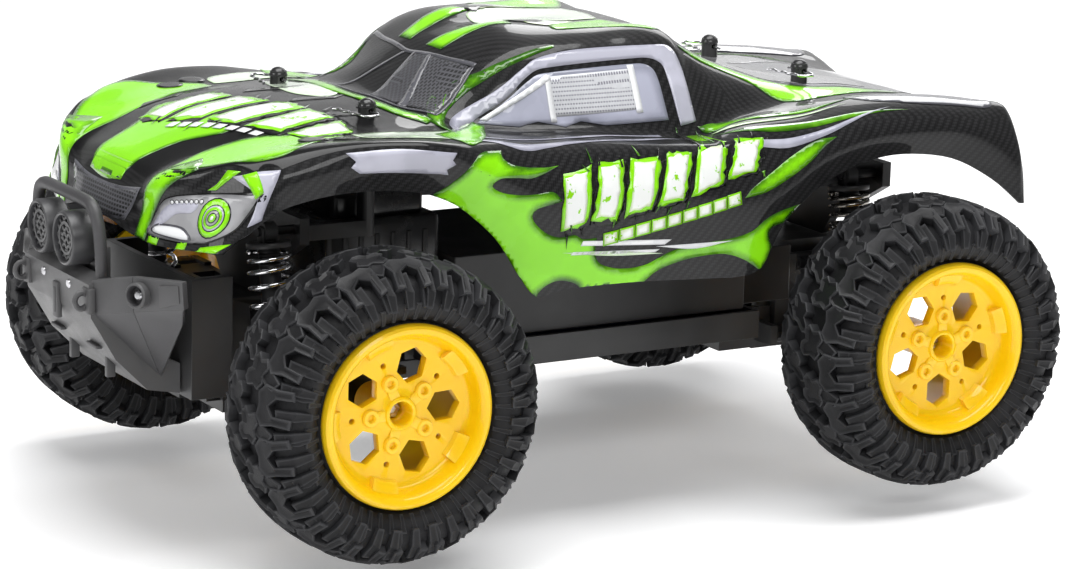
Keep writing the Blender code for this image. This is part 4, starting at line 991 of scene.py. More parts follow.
# Roof, (x, y), and the pillar line, (x, z).
film("lime", "top", [(39.5, 6.5, 1), (39, 17.5, 1), (30, 19.5), (20, 21.5), (11, 24, 1), (8, 15, 1),
                     (18, 11), (30, 7.5)], 1)
film("pale", "top", [(13, -9), (13, 9), (4, 15), (-12, 17), (-34, 14, 1), (-37, 0), (-34, -14, 1),
                     (-12, -17), (4, -15)], 1, True, False)
film("lime", "top", [(-2, 36), (-20, 37), (-42, 43, 1), (-48, 40, 1), (-40, 24), (-34, 15.5, 1), (-20, 20),
                     (-6, 25)], 1)
film("torn", "top", [(3, 16, 1), (-8, 19), (-20, 19, 1), (-12, 25), (-2, 30, 1), (4, 24)], 2)
film("black", "top", [(7, 12), (2, 17), (-5, 19), (-2, 23), (6, 21), (10, 16)], 3)
stripe("lime", "side", [(61, 150.5), (50, 158.5), (38, 166.5), (28, 171.5), (16, 175.2), (6, 176.8)],
       [[4], [3.4], [2.6], [2.2], [1.6], [0.6]], 1)
for x, y in ((118, 63), (106, 68)):
    film("black", "top", disc((x, y), 4.4, 1.25), 3)
layFilms()
print("films done:", sum(len(parts) for parts in filmParts.values()))


# Tyres.
corners = [end + "_" + side for end in ("front", "rear") for side in ("left", "right")]
wheelHub = {corner: sum(boxMm("tyre_" + corner), Vector()) / 2 for corner in corners}
tyreLook = {"pitches": 18, "lug": 3.9, "roll": 54.2, "steps": 108, "narrow": 0.945, "widest": 24.2,
            "wobble": 0.25, "seed": 3, "phase": 0.13, "ribs": 54, "ribAt": 31.6, "rib": (0.75, 0.45, 0.2),
            "bead": [(34.2, 17.2), (34.2, 14.5), (44, 18.0), (50.5, 15.5), (51.3, 0)]}
# Half of the cross section: distance from the middle of the tread, and radius.
tyreSide = [(0, 54.3), (7, 54.25), (13, 53.6), (17.5, 52.2), (20.8, 49.8), (22.9, 46.6), (23.5, 43.4),
            (22.6, 40.2), (20.4, 37.2), (17.4, 35.4)]
lugShapes = {
    "clover": [(-6.8, -2.6), (-5.4, -6.0), (-2.2, -6.6), (0.0, -4.4), (3.2, -6.6), (6.2, -4.6), (5.0, -1.2),
               (7.0, 2.2), (4.6, 5.6), (1.0, 4.6), (-1.4, 6.4), (-5.0, 4.8), (-4.6, 1.2)],
    "horn": [(-8.0, -3.6), (-4.4, -6.6), (0.4, -5.6), (4.4, -7.0), (8.0, -3.8), (7.4, 1.4), (8.2, 6.4),
             (4.4, 7.2), (3.6, 1.4), (0.4, -0.8), (-3.2, 1.2), (-3.8, 7.0), (-7.8, 6.6), (-6.8, 1.0)],
    "tooth": [(-2.6, -3.8), (2.4, -4.2), (3.0, 0.6), (2.2, 4.8), (-2.2, 4.8), (-3.0, 0.8)],
    "shoulder": [(-6.6, -4.6), (-2.2, -5.2), (-1.6, 2.2), (-2.0, 7.4), (-5.4, 7.4), (-6.0, 1.6)],
    "bar": [(-1.7, -3.9), (1.7, -3.9), (1.25, 3.9), (-1.25, 3.9)],
}
# shape: distance from the middle, share of a pitch, height, inset, sunk, turned
lugRows = [("clover", 5.6, 0.0, 1.0, 1.15, 0.9, 0.3), ("horn", 16.4, 0.47, 1.0, 1.1, 0.8, 0.0),
           ("tooth", 12.6, 0.98, 0.9, 0.7, 0.6, 0.5), ("shoulder", 22.2, 0.12, 0.72, 0.7, 0.4, 0.0),
           ("shoulder", 22.2, 0.58, 0.72, 0.7, 0.4, 0.0), ("tooth", 24.6, 0.86, 0.55, 0.7, 0.3, 0.0)]


def tyreSkin():
    fine = smoothThrough([(a * tyreLook["narrow"], b) for a, b in tyreSide], 6)
    gaps = np.diff(fine, axis=0)
    run = np.r_[0, np.cumsum(np.linalg.norm(gaps, axis=1))]
    slope = np.gradient(fine, axis=0)
    normal = np.c_[-slope[:, 1], slope[:, 0]]
    normal /= np.linalg.norm(normal, axis=1, keepdims=True)
    return fine, run, normal


skinLine, skinRun, skinNormal = tyreSkin()


def onTyre(u, s, h):
    side = 1 if s >= 0 else -1
    wide, radius = (np.interp(abs(s), skinRun, skinLine[:, i])
                    + h * np.interp(abs(s), skinRun, skinNormal[:, i]) for i in (0, 1))
    angle = u / tyreLook["roll"]
    wide = min(wide, tyreLook["widest"] - 0.04 * abs(wide - tyreLook["widest"]))
    return Vector((radius * math.cos(angle), side * wide, radius * math.sin(angle)))


lugLook = {"root": 0.8, "taper": 0.93, "edge": 0.35}


def lugMesh(outline, height, inset, sunk):
    shape = bmesh.new()
    face = shape.faces.new([shape.verts.new((u, s, -lugLook["root"])) for u, s in outline])
    raised = bmesh.ops.extrude_face_region(shape, geom=[face])["geom"]
    top = [item for item in raised if isinstance(item, bmesh.types.BMVert)]
    middle = sum((v.co for v in top), Vector()) / len(top)
    for vert in top:
        vert.co = middle + (vert.co - middle) * lugLook["taper"]
        vert.co.z = height
    roof = [f for f in shape.faces if all(v in top for v in f.verts)]
    bmesh.ops.bevel(shape, geom=list(roof[0].edges), offset=lugLook["edge"], segments=1, affect="EDGES",
                    profile=0.5)
    roof = max(shape.faces, key=lambda f: f.calc_center_median().z + 0.001 * f.calc_area())
    bmesh.ops.inset_region(shape, faces=[roof], thickness=inset, depth=-sunk, use_even_offset=True)
    bottom = [f for f in shape.faces if all(v.co.z < 0.1 - lugLook["root"] for v in f.verts)]
    bmesh.ops.delete(shape, geom=bottom, context="FACES_ONLY")
    bmesh.ops.triangulate(shape, faces=[f for f in shape.faces if len(f.verts) > 4])
    bmesh.ops.recalc_face_normals(shape, faces=shape.faces)
    shape.verts.index_update()
    points = [tuple(v.co) for v in shape.verts]
    faces = [[v.index for v in f.verts] for f in shape.faces]
    roofNormal = max(shape.faces, key=lambda f: f.calc_center_median().z).normal.z
    shape.free()
    return points, faces if roofNormal > 0 else [f[::-1] for f in faces]


def addLug(shape, points, faces, around, across, side, spin=0.0):
    c, s = math.cos(spin * side), math.sin(spin * side)
    made = [shape.verts.new(onTyre(around + u * c - v * s, side * (across + u * s * side + v * c), high))
            for u, v, high in points]
    for face in faces:
        shape.faces.new([made[k] for k in (face if side > 0 else face[::-1])])


def tyreShape(phase):
    rng = random.Random(tyreLook["seed"])
    shape = bmesh.new()
    half = [(radius, wide) for wide, radius in skinLine] + tyreLook["bead"]
    ring = [(radius, -wide) for radius, wide in half[-2:0:-1]] + half
    addRing(shape, ring, aroundAxle(), tyreLook["steps"])
    pitch = turn * tyreLook["roll"] / tyreLook["pitches"]
    for name, off, share, tall, inset, sunk, spin in lugRows:
        points, faces = lugMesh(lugShapes[name], tyreLook["lug"] * tall, inset, sunk)
        for side in (1, -1):
            for i in range(tyreLook["pitches"]):
                wobble = rng.uniform(-tyreLook["wobble"], tyreLook["wobble"])
                around = (i + share + (0.5 if side < 0 else 0) + phase) * pitch + wobble
                addLug(shape, points, faces, around, off, side, spin)
    points, faces = lugMesh(lugShapes["bar"], *tyreLook["rib"])
    for side in (1, -1):
        for i in range(tyreLook["ribs"]):
            addLug(shape, points, faces, i * turn * tyreLook["roll"] / tyreLook["ribs"], tyreLook["ribAt"],
                   side)
    closeUp(shape)
    return shape


def makeTyres():
    for index, (corner, hub) in enumerate(wheelHub.items()):
        shape = tyreShape(tyreLook["phase"] * index)
        if "right" in corner:
            rightSide(shape)
        bmesh.ops.translate(shape, vec=hub, verts=shape.verts)
        finishPiece("lugged_tyre_" + corner, shape, "rubber", "wheel_" + corner, ["tyre_" + corner],
                    32)


makeTyres()
print("tyres done")


# Rims.
rimLook = {"spokes": 5, "windowRadius": 18.3, "window": (6.9, 6.3), "windowSides": 6,
           "windowDepth": (10, 24),
           "pinHole": 1.15, "pinRadius": 19.6, "pinDepth": 14, "pinMiddle": 17, "bossRadius": 12.2,
           "steps": 96, "edge": 0.35, "sharp": 40, "first": {"front": 0.46, "rear": 0.76},
           "boss": [(3.3, 17.6), (3.3, 19.3), (2.9, 19.9), (1.7, 19.9), (1.3, 19.3), (1.3, 17.6)],
           "tabHalf": 0.19, "tabSteps": 6,
           "tab": [(31.6, 23.6), (28.6, 22.4), (26.6, 21.3), (25.6, 20.5), (24.9, 18.0), (31.6, 17.6)],
           "nut": [(0.0, 12.4), (1.6, 12.4), (2.2, 11.9), (3.6, 11.7), (3.6, 8.3), (0.0, 8.3)]}
rimProfile = [(35, -16), (35, -13.6), (33.2, -12), (33.2, 22.0), (34.5, 22.7), (35, 24.0), (34.85, 25.3),
              (34.2, 26.4), (33.2, 26.95), (32.1, 26.85), (31.1, 26.2), (30.3, 25.1), (29.6, 23.4),
              (29.1, 21.4), (28.5, 19.7), (27.5, 18.7), (26.2, 18.35), (10.2, 18.3), (7.6, 18.5),
              (6.6, 19.0), (6.1, 19.8), (5.5, 20.1), (4.8, 19.9), (4.4, 19.2), (4.2, 8.2), (2.4, 8.0),
              (2.4, -4), (7, -4), (7, 14.2), (30.4, 14.2), (31.2, -16)]


def addWindow(cutter, angle):
    across = Vector((math.cos(angle), 0, math.sin(angle)))
    around = Vector((-math.sin(angle), 0, math.cos(angle)))
    centre, count = across * rimLook["windowRadius"], rimLook["windowSides"]
    outline = [centre + across * rimLook["window"][0] * math.cos(k * turn / count)
               + around * rimLook["window"][1] * math.sin(k * turn / count) for k in range(count)]
    low, high = ([cutter.verts.new(p + Vector((0, depth, 0))) for p in outline]
                 for depth in rimLook["windowDepth"])
    cutter.faces.new(low[::-1])
    cutter.faces.new(high)
    for k in range(count):
        cutter.faces.new((low[k], low[(k + 1) % count], high[(k + 1) % count], high[k]))


def addPinHole(cutter, angle):
    centre = Vector((math.cos(angle), 0, math.sin(angle))) * rimLook["pinRadius"]
    place = Matrix.Translation(centre + Vector((0, rimLook["pinMiddle"], 0)))
    place = place @ Matrix.Rotation(math.pi / 2, 4, "X")
    bmesh.ops.create_cone(cutter, cap_ends=True, segments=14, radius1=rimLook["pinHole"],
                          radius2=rimLook["pinHole"], depth=rimLook["pinDepth"], matrix=place)


def addBoss(out, angle):
    c, s = math.cos(angle), math.sin(angle)
    before, boss = set(out.verts), rimLook["bossRadius"]
    addBlock(out, (5.6, 17.6, -2.1), (boss - 2.2, 19.3, 2.1), 0.5)
    addBlock(out, (7.4, 18.6, -0.9), (boss - 2.8, 19.0, 0.9), 0.1)
    addRing(out, rimLook["boss"], aroundAxle(boss), 24)
    toward = Matrix(((c, 0, -s, 0), (0, 1, 0, 0), (s, 0, c, 0), (0, 0, 0, 1)))
    bmesh.ops.transform(out, matrix=toward, verts=[v for v in out.verts if v not in before])


def addTab(out, middle):
    section, steps = rimLook["tab"], rimLook["tabSteps"]
    rows = []
    for i in range(steps + 1):
        angle = middle + rimLook["tabHalf"] * (2 * i / steps - 1)
        rows.append([out.verts.new((r * math.cos(angle), w, r * math.sin(angle))) for r, w in section])
    for first, second in zip(rows, rows[1:]):
        for j in range(len(section)):
            k = (j + 1) % len(section)
            out.faces.new((first[j], first[k], second[k], second[j]))
    out.faces.new(rows[0])
    out.faces.new(rows[-1][::-1])


def rimShape(first):
    shape, cutter = bmesh.new(), bmesh.new()
    addRing(shape, rimProfile, aroundAxle(), rimLook["steps"])
    spokes = rimLook["spokes"]
    for i in range(spokes):
        angle = turn * (i + first) / spokes
        addWindow(cutter, angle)
        addPinHole(cutter, angle + turn / spokes / 2)
    for part in (shape, cutter):
        closeUp(part)
    solid, holes = (linked("rimWork", meshOf("rimWork", part)) for part in (shape, cutter))
    cut = solid.modifiers.new("cut", "BOOLEAN")
    cut.object, cut.operation, cut.solver = holes, "DIFFERENCE", "EXACT"
    soft = solid.modifiers.new("round", "BEVEL")
    soft.width, soft.segments, soft.limit_method = rimLook["edge"], 2, "ANGLE"
    soft.angle_limit = math.radians(rimLook["sharp"])
    final = bpy.data.meshes.new_from_object(solid.evaluated_get(bpy.context.evaluated_depsgraph_get()))
    out = bmesh.new()
    out.from_mesh(final)
    for item in (solid, holes):
        bpy.data.objects.remove(item)
    for i in range(spokes):
        angle = turn * (i + first) / spokes + turn / spokes / 2
        addBoss(out, angle)
        addTab(out, angle)
    closeUp(out)
    return out


def makeRims():
    masters = {end: rimShape(first) for end, first in rimLook["first"].items()}
    for corner, hub in wheelHub.items():
        shape, nut = masters[corner.split("_")[0]].copy(), bmesh.new()
        side = 1 if "left" in corner else -1
        if side < 0:
            rightSide(shape)
        addRing(nut, rimLook["nut"], aroundAxle(0.0, side), 6)
        closeUp(nut, True)
        for part in (shape, nut):
            bmesh.ops.translate(part, vec=(hub.x, side * 100, hub.z), verts=part.verts)
        finishPiece("dished_rim_" + corner, shape, "rim", "wheel_" + corner, ["rim_" + corner],
                    30)
        finishPiece("axle_nut_" + corner, nut, "steel", "wheel_" + corner)


makeRims()
print("rims done")


# Springs, clips and posts. Each shock's line runs from its top eye to its bottom eye.
shockLines = {"front": ((128.5, 48.0, 114.0), (128.5, 58.0, 49.0)),
              "rear": ((-135.0, 50.0, 115.0), (-135.0, 54.0, 82.0))}
damperLook = {
    # radius, and distance down from the top eye
    "top": [(2.3, 5.0), (3.4, 4.2), (4.6, 4.0), (8.4, 4.0), (8.6, 4.3), (8.6, 5.7), (8.4, 6.0), (4.6, 6.1),
            (4.2, 6.6)],
    "threads": 5, "ridge": (4.3, 7.4), "groove": (3.9, 8.0), "pitch": 1.2, "threadEnd": (4.1, 13.6),
    "share": 0.50,
    "rodTop": {"front": [(0.0, 13.7), (1.7, 13.9)], "rear": [(0.0, 12.2), (1.7, 12.4)]},
    # radius, and distance up from the end of the tube, or from the bottom eye
    "gland": [(4.1, 1.6), (4.5, 1.4), (4.5, 0.2), (4.1, 0), (2.3, 0)],
    "seat": [(1.7, 9.6), (8.3, 9.3), (8.6, 8.8), (8.6, 7.4), (8.0, 7.0), (3.4, 6.8), (3.2, 3.4), (0.0, 3.2)],
    "topEye": [(2.2, -2.4), (3.8, -2.4), (3.8, 2.4), (2.2, 2.4)],
    "lowEye": [(2.75, -2.0), (4.2, -2.0), (4.2, 2.0), (2.75, 2.0)],
    "fork": (-3.4, 2.2), "forkThick": 1.2, "forkWide": 2.6, "forkDrop": 5.4, "forkRise": 2.0,
}
springLook = {"coil": 7.75, "wire": 0.98, "steps": 28, "start": 7.2, "stop": 10.2, "closed": 0.06,
              "front": (9.0, "chrome", "chrome_wire"), "rear": (5.5, "darkWire", "dark_wire")}


def eachShock():
    for end, (top, bottom) in shockLines.items():
        for side, label in bothSides:
            high, low = (Vector((x, side * y, z)) for x, y, z in (top, bottom))
            yield end, label, high, low, (low - high).normalized(), (low - high).length


def makeDampers():
    look, ahead = damperLook, Vector((1, 0, 0))
    for end, label, high, low, along, length in eachShock():
        body, rod = bmesh.new(), bmesh.new()
        tube = list(look["top"])
        for k in range(look["threads"]):
            tube += [(radius, down + k * look["pitch"]) for radius, down in (look["ridge"], look["groove"])]
        stop = length * look["share"]
        tube += [look["threadEnd"]] + [(radius, stop - up) for radius, up in look["gland"]]
        addRing(body, tube, aroundRod(high, along), 28)
        for x in look["fork"]:
            addBlock(body, (high.x + x, high.y - look["forkWide"], high.z - look["forkDrop"]),
                     (high.x + x + look["forkThick"], high.y + look["forkWide"], high.z + look["forkRise"]),
                     0.5)
        addRing(body, look["topEye"], aroundRod(high, ahead), 20)
        shaft = look["rodTop"][end] + [(radius, length - up) for radius, up in look["seat"]]
        addRing(rod, shaft, aroundRod(high, along), 28)
        addRing(rod, look["lowEye"], aroundRod(low, ahead), 20)
        for shape, kind, finish, slot in ((body, "cylinder", "plastic", "black_plastic"),
                                          (rod, "rod", "steel", "steel")):
            closeUp(shape, True)
            finishPiece(f"damper_{kind}_{end}_{label}", shape, finish, f"shock_{kind}_{end}_{label}",
                        [f"shock_{kind}_{end}_{label}"], 40)


def makeSprings():
    look, across = springLook, Vector((1, 0, 0))
    for end, label, high, low, along, length in eachShock():
        turns, finish, slot = look[end]
        start, stop = high + along * look["start"], high + along * (length - look["stop"])
        third = along.cross(across)
        path = []
        steps = int(turns * look["steps"])
        for i in range(steps + 1):
            share = i / steps
            rise = share - look["closed"] * math.sin(turn * share)
            angle = turn * turns * share
            path.append(start + (stop - start) * rise
                        + look["coil"] * (math.cos(angle) * across + math.sin(angle) * third))
        shape = bmesh.new()
        addTube(shape, path, look["wire"], 8)
        closeUp(shape)
        mesh = meshOf("spring", shape, mm)
        mesh.materials.append(finishes[finish])
        spring = linked(f"wound_spring_{end}_{label}", mesh)
        start * mm
        stop * mm
        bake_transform(spring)
        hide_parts(f"shock_spring_{end}_{label}")


# Clip: its wire's path across and along from the post. Cap and collar: radius, and height from their level.
clipLook = {"path": [(-4, -8), (-4, -3), (-3.9, 3), (-4, 8.5), (-3.2, 11.4), (-1.0, 12.9), (1.6, 12.2),
                     (3.4, 9.6), (3.5, 6.4), (4.6, 3.4), (4.2, 0.5), (5.3, -2.5), (5.0, -5), (6.4, -8)],
            "ahead": 4, "down": 3.2, "wave": 0.15, "wire": 0.55}
capLook = [(0.0, 1.5), (1.2, 1.4), (2.4, 0.8), (3.2, -0.2), (3.7, -1.4), (3.7, -1.9), (3.42, -2.1),
           (0.0, -2.1)]
collarLook = {"down": 9.5,
              "profile": [(3.5, 0), (3.5, -1.2), (5.6, -1.2), (6.0, -0.9), (6.0, -0.3), (5.6, 0)]}


def makeClipsAndCaps():
    for end, (x, y, top) in postTops.items():
        for side, label in bothSides:
            clip, cap, collar = bmesh.new(), bmesh.new(), bmesh.new()
            level = top - clipLook["down"]
            wire = [(x + clipLook["ahead"] + a, side * y + side * b, level + clipLook["wave"] * math.sin(b))
                    for a, b in smoothThrough(clipLook["path"], 5)]
            addTube(clip, wire, clipLook["wire"], 8)
            closeUp(clip)
            finishPiece(f"bent_clip_{end}_{label}", clip, "chrome", "chassis",
                        [f"body_clip_{end}_{label}"], 60)
            addRing(cap, [(radius, top + up) for radius, up in capLook], aroundPost(x, side * y), 24)
            closeUp(cap, True)
            finishPiece(f"post_cap_{end}_{label}", cap, "gloss", "chassis")
            level = top - collarLook["down"]
            addRing(collar, [(radius, level + up) for radius, up in collarLook["profile"]],
                    aroundPost(x, side * y), 28)
            closeUp(collar)
            finishPiece(f"post_collar_{end}_{label}", collar, "plastic", "chassis")


makeDampers()
makeSprings()
makeClipsAndCaps()
print("springs, clips and posts done")


# Moulded and turned parts of the chassis, drawn again from the frame with rounded edges.
refineLook = {"merge": 2e-6, "flat": 1.0, "segments": 2, "sharp": 34}


def refine(node, finish, bevel):
    source, angle = frame["nodes"][node], refineLook["sharp"]
    shape = bmesh.new()
    shape.from_mesh(source.data)
    bmesh.ops.remove_doubles(shape, verts=shape.verts, dist=refineLook["merge"])
    bmesh.ops.dissolve_limit(shape, angle_limit=math.radians(refineLook["flat"]), verts=shape.verts,
                             edges=shape.edges)
    for layer in list(shape.loops.layers.uv.values()):
        shape.loops.layers.uv.remove(layer)
    piece = finishPiece("fine_" + node, shape, finish, source["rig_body"], [node], angle, 1)
    soft = piece.modifiers.new("edges", "BEVEL")
    soft.width, soft.segments, soft.limit_method = bevel * mm, refineLook["segments"], "ANGLE"
    soft.angle_limit, soft.use_clamp_overlap, soft.harden_normals = math.radians(angle), True, True


# finish, slot and edge radius, and the nodes that have them
refined = {
    ("plastic", "black_plastic", 0.6): ["chassis_tub", "chassis_cover", "gearbox_case", "front_shock_tower",
                                        "rear_shock_tower", "steering_servo", "battery_door"],
    ("plastic", "black_plastic", 0.35): ["servo_horn", "tie_rod", "steering_knuckle_left",
                                         "steering_knuckle_right"]
    + [part + corner for part in ("lower_arm_", "upper_arm_", "hub_carrier_") for corner in corners],
    ("steel", "steel", 0.25): ["motor", "motor_pinion", "drive_shaft_left", "drive_shaft_right",
                               "rear_axle_left", "rear_axle_right"],
    ("whitePlastic", "white_plastic", 0.2): ["drive_gear"],
    ("board", "board", 0.2): ["circuit_board"],
    ("wrap", "battery_wrap", 1.4): ["battery_pack"],
}
for (finish, slot, bevel), nodes in refined.items():
    for node in nodes:
        refine(node, finish, bevel)
print("chassis parts done")


# Front guard and lamps.
def addSheet(shape, corners, thick, bevel=0.5):
    corners = [Vector(c) for c in corners]
    normal = (corners[1] - corners[0]).cross(corners[2] - corners[0]).normalized()
    if normal.x < 0:
        normal = -normal
    sheet = bmesh.new()
    rings = [[sheet.verts.new(c + normal * shift) for c in corners] for shift in (0, -thick)]
    sheet.faces.new(rings[0])
    sheet.faces.new(rings[1][::-1])
    for i in range(len(corners)):
        j = (i + 1) % len(corners)
        sheet.faces.new((rings[0][i], rings[1][i], rings[1][j], rings[0][j]))
    bmesh.ops.bevel(sheet, geom=sheet.edges[:], offset=bevel, segments=2, affect="EDGES", profile=0.6)
    verts = [shape.verts.new(v.co) for v in sheet.verts]
    sheet.verts.index_update()
    for face in sheet.faces:
        shape.faces.new([verts[v.index] for v in face.verts])
    sheet.free()
    return normal


guardLook = {
    # side view of the skid plate, along and up
    "side": [(156.6, 50.4), (170, 53), (183, 66), (193, 83), (194, 96), (188, 98.8), (182, 96), (184, 86),
             (174, 70), (156.6, 62)],
    "half": 31, "edge": 0.8, "tube": 2.45,
    "hoop": [(187.6, 29.2, 96), (188.2, 29.2, 108), (188.8, 28.6, 117), (189.2, 25.4, 123),
             (189.4, 19, 125.2), (189.6, 0, 125.4)],
    # facets of the left wing, and their thickness
    "facets": [([(192.6, 30.4, 97.6), (183.5, 47, 101.4), (183.0, 47, 88), (191.8, 30.4, 84)], 2.6),
               ([(183.5, 47, 101.4), (174.6, 71.4, 103.6), (173.8, 71.4, 93.2), (183.0, 47, 88)], 2.6),
               ([(191.8, 30.4, 84), (183.0, 47, 88), (164.4, 30.4, 57)], 2.2),
               ([(183.0, 47, 88), (173.8, 71.4, 93.2), (170.6, 63, 85), (164.4, 30.4, 57)], 2.2),
               ([(179.4, 61, 100.4), (175.6, 70, 102.0), (175.0, 70, 95.2), (178.8, 61, 92.0)], 1.4)],
    "hook": (195.9, 28.8, 89.6), "hookRadius": (3.0, 1.15), "hookSquash": 0.9,
    "hookBase": (191.4, 194.6), "hookWide": 3.4, "hookTall": 5,
    "socketAt": (183.6, 52.0, 95.4), "socketAxis": (0.90, 0.42, 0.08),
    "socket": [(4.9, -3.0), (4.9, 1.2), (4.5, 1.7), (3.9, 1.7), (3.6, 1.2), (3.6, -1.6), (0.0, -1.6),
               (0.0, -3.0)],
    "socketHead": [(0.0, -1.4), (0.0, 0.2), (1.3, 0.1), (1.9, -0.4), (1.9, -1.4)],
    "boltsAt": [(193.6, 12, 92.6), (193.6, -12, 92.6)],
    "boltHead": [(0.0, 0.9), (1.3, 0.8), (1.8, 0.3), (1.8, -0.8), (0.0, -0.8)],
    # low and high corner, and edge radius
    "crossBar": ((181.2, -23, 95), (185.4, 23, 108), 0.8),
    "ribs": [((192.2, -2.4, 77), (194.6, 2.4, 91), 0.7), ((192.8, -1.1, 79), (195.0, 1.1, 89), 0.4),
             ((184.4, -22, 68.4), (187.0, -12, 69.8), 0.4), ((177.4, -18.2, 56), (181.0, -15.8, 64), 0.4),
             ((184.4, 12, 68.4), (187.0, 22, 69.8), 0.4), ((177.4, 15.8, 56), (181.0, 18.2, 64), 0.4)],
}


def addHook(shape, side):
    x, y, z = guardLook["hook"]
    y *= side
    wide, wire = guardLook["hookRadius"]
    ring = [(x + wide * math.cos(turn * i / 20) * guardLook["hookSquash"], y,
             z + wide * math.sin(turn * i / 20)) for i in range(20)]
    addTube(shape, ring, wire, 8, True)
    back, front = guardLook["hookBase"]
    addBlock(shape, (back, y - guardLook["hookWide"], z - guardLook["hookTall"]),
             (front, y + guardLook["hookWide"], z + guardLook["hookTall"]), 0.9)


def addSocket(shape, bolts, side):
    x, y, z = guardLook["socketAt"]
    ahead, out, up = guardLook["socketAxis"]
    place = aroundRod(Vector((x, side * y, z)), Vector((ahead, side * out, up)).normalized())
    before = set(shape.verts)
    addRing(shape, guardLook["socket"], place, 28)
    bmesh.ops.remove_doubles(shape, verts=[v for v in shape.verts if v not in before], dist=merged)
    addRing(bolts, guardLook["socketHead"], place, 14)


def makeGuard():
    shape, bolts = bmesh.new(), bmesh.new()
    upright = Matrix(((1, 0, 0, 0), (0, 0, -1, 0), (0, 1, 0, 0), (0, 0, 0, 1)))
    addPlate(shape, guardLook["side"], -guardLook["half"], guardLook["half"], upright, guardLook["edge"])
    half = guardLook["hoop"]
    loop = half + [(x, -y, z) for x, y, z in half[-2::-1]]
    addTube(shape, smoothThrough(loop, 6), guardLook["tube"], 12)
    addBlocks(shape, [guardLook["crossBar"]])
    for side in (1, -1):
        for outline, thick in guardLook["facets"]:
            addSheet(shape, [(x, side * y, z) for x, y, z in outline], thick)
        addHook(shape, side)
        addSocket(shape, bolts, side)
    addBlocks(shape, guardLook["ribs"])
    closeUp(shape)
    finishPiece("faceted_guard", shape, "greyPlastic", "chassis", ["front_bumper"])
    for place in guardLook["boltsAt"]:
        addRing(bolts, guardLook["boltHead"], aroundRod(Vector(place), Vector((1, 0, 0))), 12)
    closeUp(bolts, True)
    finishPiece("guard_bolts", bolts, "steel", "chassis")


# Dark housing under the bonnet, behind the front shock tower: boxes, ribs on its sides, and two bars.
bayLook = {"boxes": [((47, -35, 63), (97, 35, 112), 3.0), ((52, -30, 108), (92, 30, 122), 2.5)],
           "ribsFrom": 53, "ribsTo": 96, "ribGap": 7, "ribSides": (-35.6, 34.2), "rib": (2.2, 1.4),
           "ribUp": (66, 106),
           "bars": [((58, -20, 121), (61, 20, 124.5), 0.5), ((86, -20, 121), (89, 20, 124.5), 0.5)]}


def makeFrontBay():
    shape, look = bmesh.new(), bayLook
    addBlocks(shape, look["boxes"], 3)
    (thick, deep), (low, high) = look["rib"], look["ribUp"]
    ribs = range(look["ribsFrom"], look["ribsTo"], look["ribGap"])
    addBlocks(shape, [((x, y, low), (x + thick, y + deep, high), 0.4)
                      for x in ribs for y in look["ribSides"]])
    addBlocks(shape, look["bars"])
    closeUp(shape)
    finishPiece("front_bay", shape, "gloss", "chassis")


# Lamp: radius and distance ahead. The lattice bars stand at these offsets, crossed at right angles.
lampLook = {"across": 12.2, "up": 110.2, "reach": 8.7, "bars": (-6.0, -3.0, 0.0, 3.0, 6.0), "barHalf": 0.55,
            "barDepth": (193.4, 194.9),
            "case": [(10.4, 187.0), (10.4, 195.2), (10.1, 196.1), (9.4, 196.5), (8.8, 196.1), (8.6, 195.0),
                     (8.5, 192.6), (0.0, 192.6), (0.0, 184.6), (5.0, 184.6), (8.6, 185.4)],
            "ring": [(6.4, 195.2), (5.4, 195.2), (5.4, 193.6), (6.4, 193.6)]}


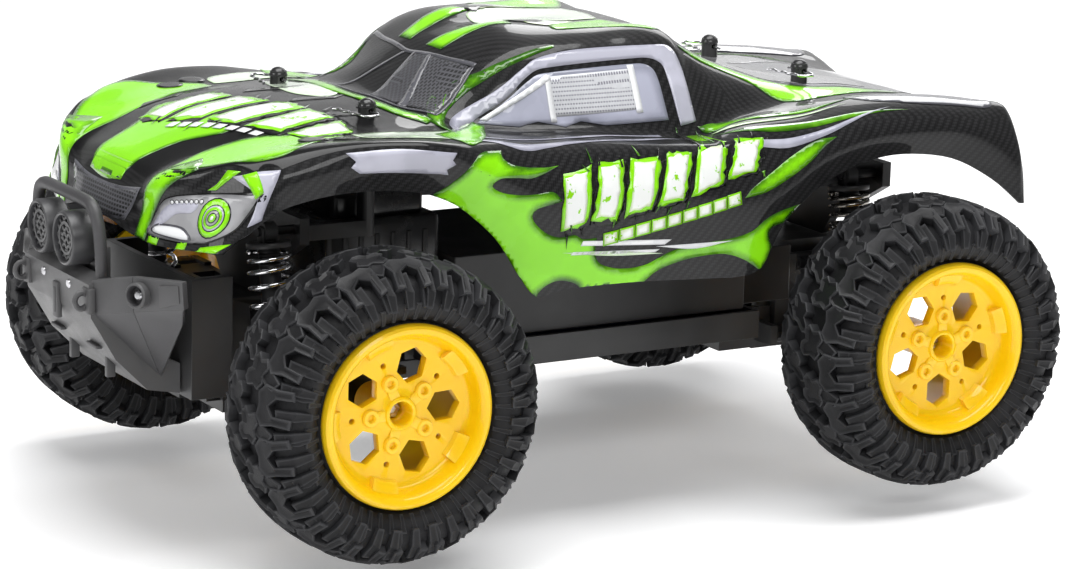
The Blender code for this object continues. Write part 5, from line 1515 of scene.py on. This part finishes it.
def makeLamps():
    half, (back, front) = lampLook["barHalf"], lampLook["barDepth"]
    for side, label in bothSides:
        y, z = side * lampLook["across"], lampLook["up"]

        def place(radius, ahead, angle):
            return ahead, y + radius * math.cos(angle), z + radius * math.sin(angle)

        shape = bmesh.new()
        addRing(shape, lampLook["case"], place, 48)
        bmesh.ops.remove_doubles(shape, verts=shape.verts, dist=merged)
        for turned in (math.pi / 4, -math.pi / 4):
            spin = Matrix.Translation((0, y, z)) @ Matrix.Rotation(turned, 4, "X")
            for offset in lampLook["bars"]:
                reach = math.sqrt(lampLook["reach"]**2 - offset**2)
                before = set(shape.verts)
                addBlock(shape, (back, -reach, offset - half), (front, reach, offset + half), 0.25, 1)
                bmesh.ops.transform(shape, matrix=spin, verts=[v for v in shape.verts if v not in before])
        addRing(shape, lampLook["ring"], place, 32)
        closeUp(shape)
        finishPiece("lattice_lamp_" + label, shape, "lampBlack", "chassis",
                    ["lamp_" + label])


amberLook = {"corners": [(169.4, 6, 114.8), (168.6, 23, 113.4), (165.6, 23, 107.6), (166.4, 6, 109)],
             "thick": 1.6}


def makeAmber():
    shape = bmesh.new()
    for side in (1, -1):
        addSheet(shape, [(x, side * y, z) for x, y, z in amberLook["corners"]], amberLook["thick"])
    closeUp(shape)
    finishPiece("amber_corner", shape, "amber", "chassis")


makeGuard()
makeFrontBay()
makeLamps()
makeAmber()
print("front guard done")


# Floor, in metres: its line from behind to in front, bent up at the back.
floorLook = {"line": [(-3.2, 0, 1.8), (-3.0, 0, 0.5), (-2.4, 0, 0.0), (2.5, 0, 0.0)], "steps": 12,
             "half": 3.5, "drop": 0.0002, "turned": 60}


def makeFloor():
    look, shape = floorLook, bmesh.new()
    rows = smoothThrough(look["line"], look["steps"])
    sides = [[shape.verts.new((p[0], y, p[2] - look["drop"])) for p in rows]
             for y in (-look["half"], look["half"])]
    for i in range(len(rows) - 1):
        shape.faces.new((sides[0][i], sides[0][i + 1], sides[1][i + 1], sides[1][i]))
    bmesh.ops.rotate(shape, matrix=Matrix.Rotation(math.radians(look["turned"]), 3, "Z"), verts=shape.verts)
    mesh = meshOf("floor", shape)
    mesh.materials.append(finishes["floor"])
    floor = linked("floor", mesh)


makeFloor()
print("scene done")
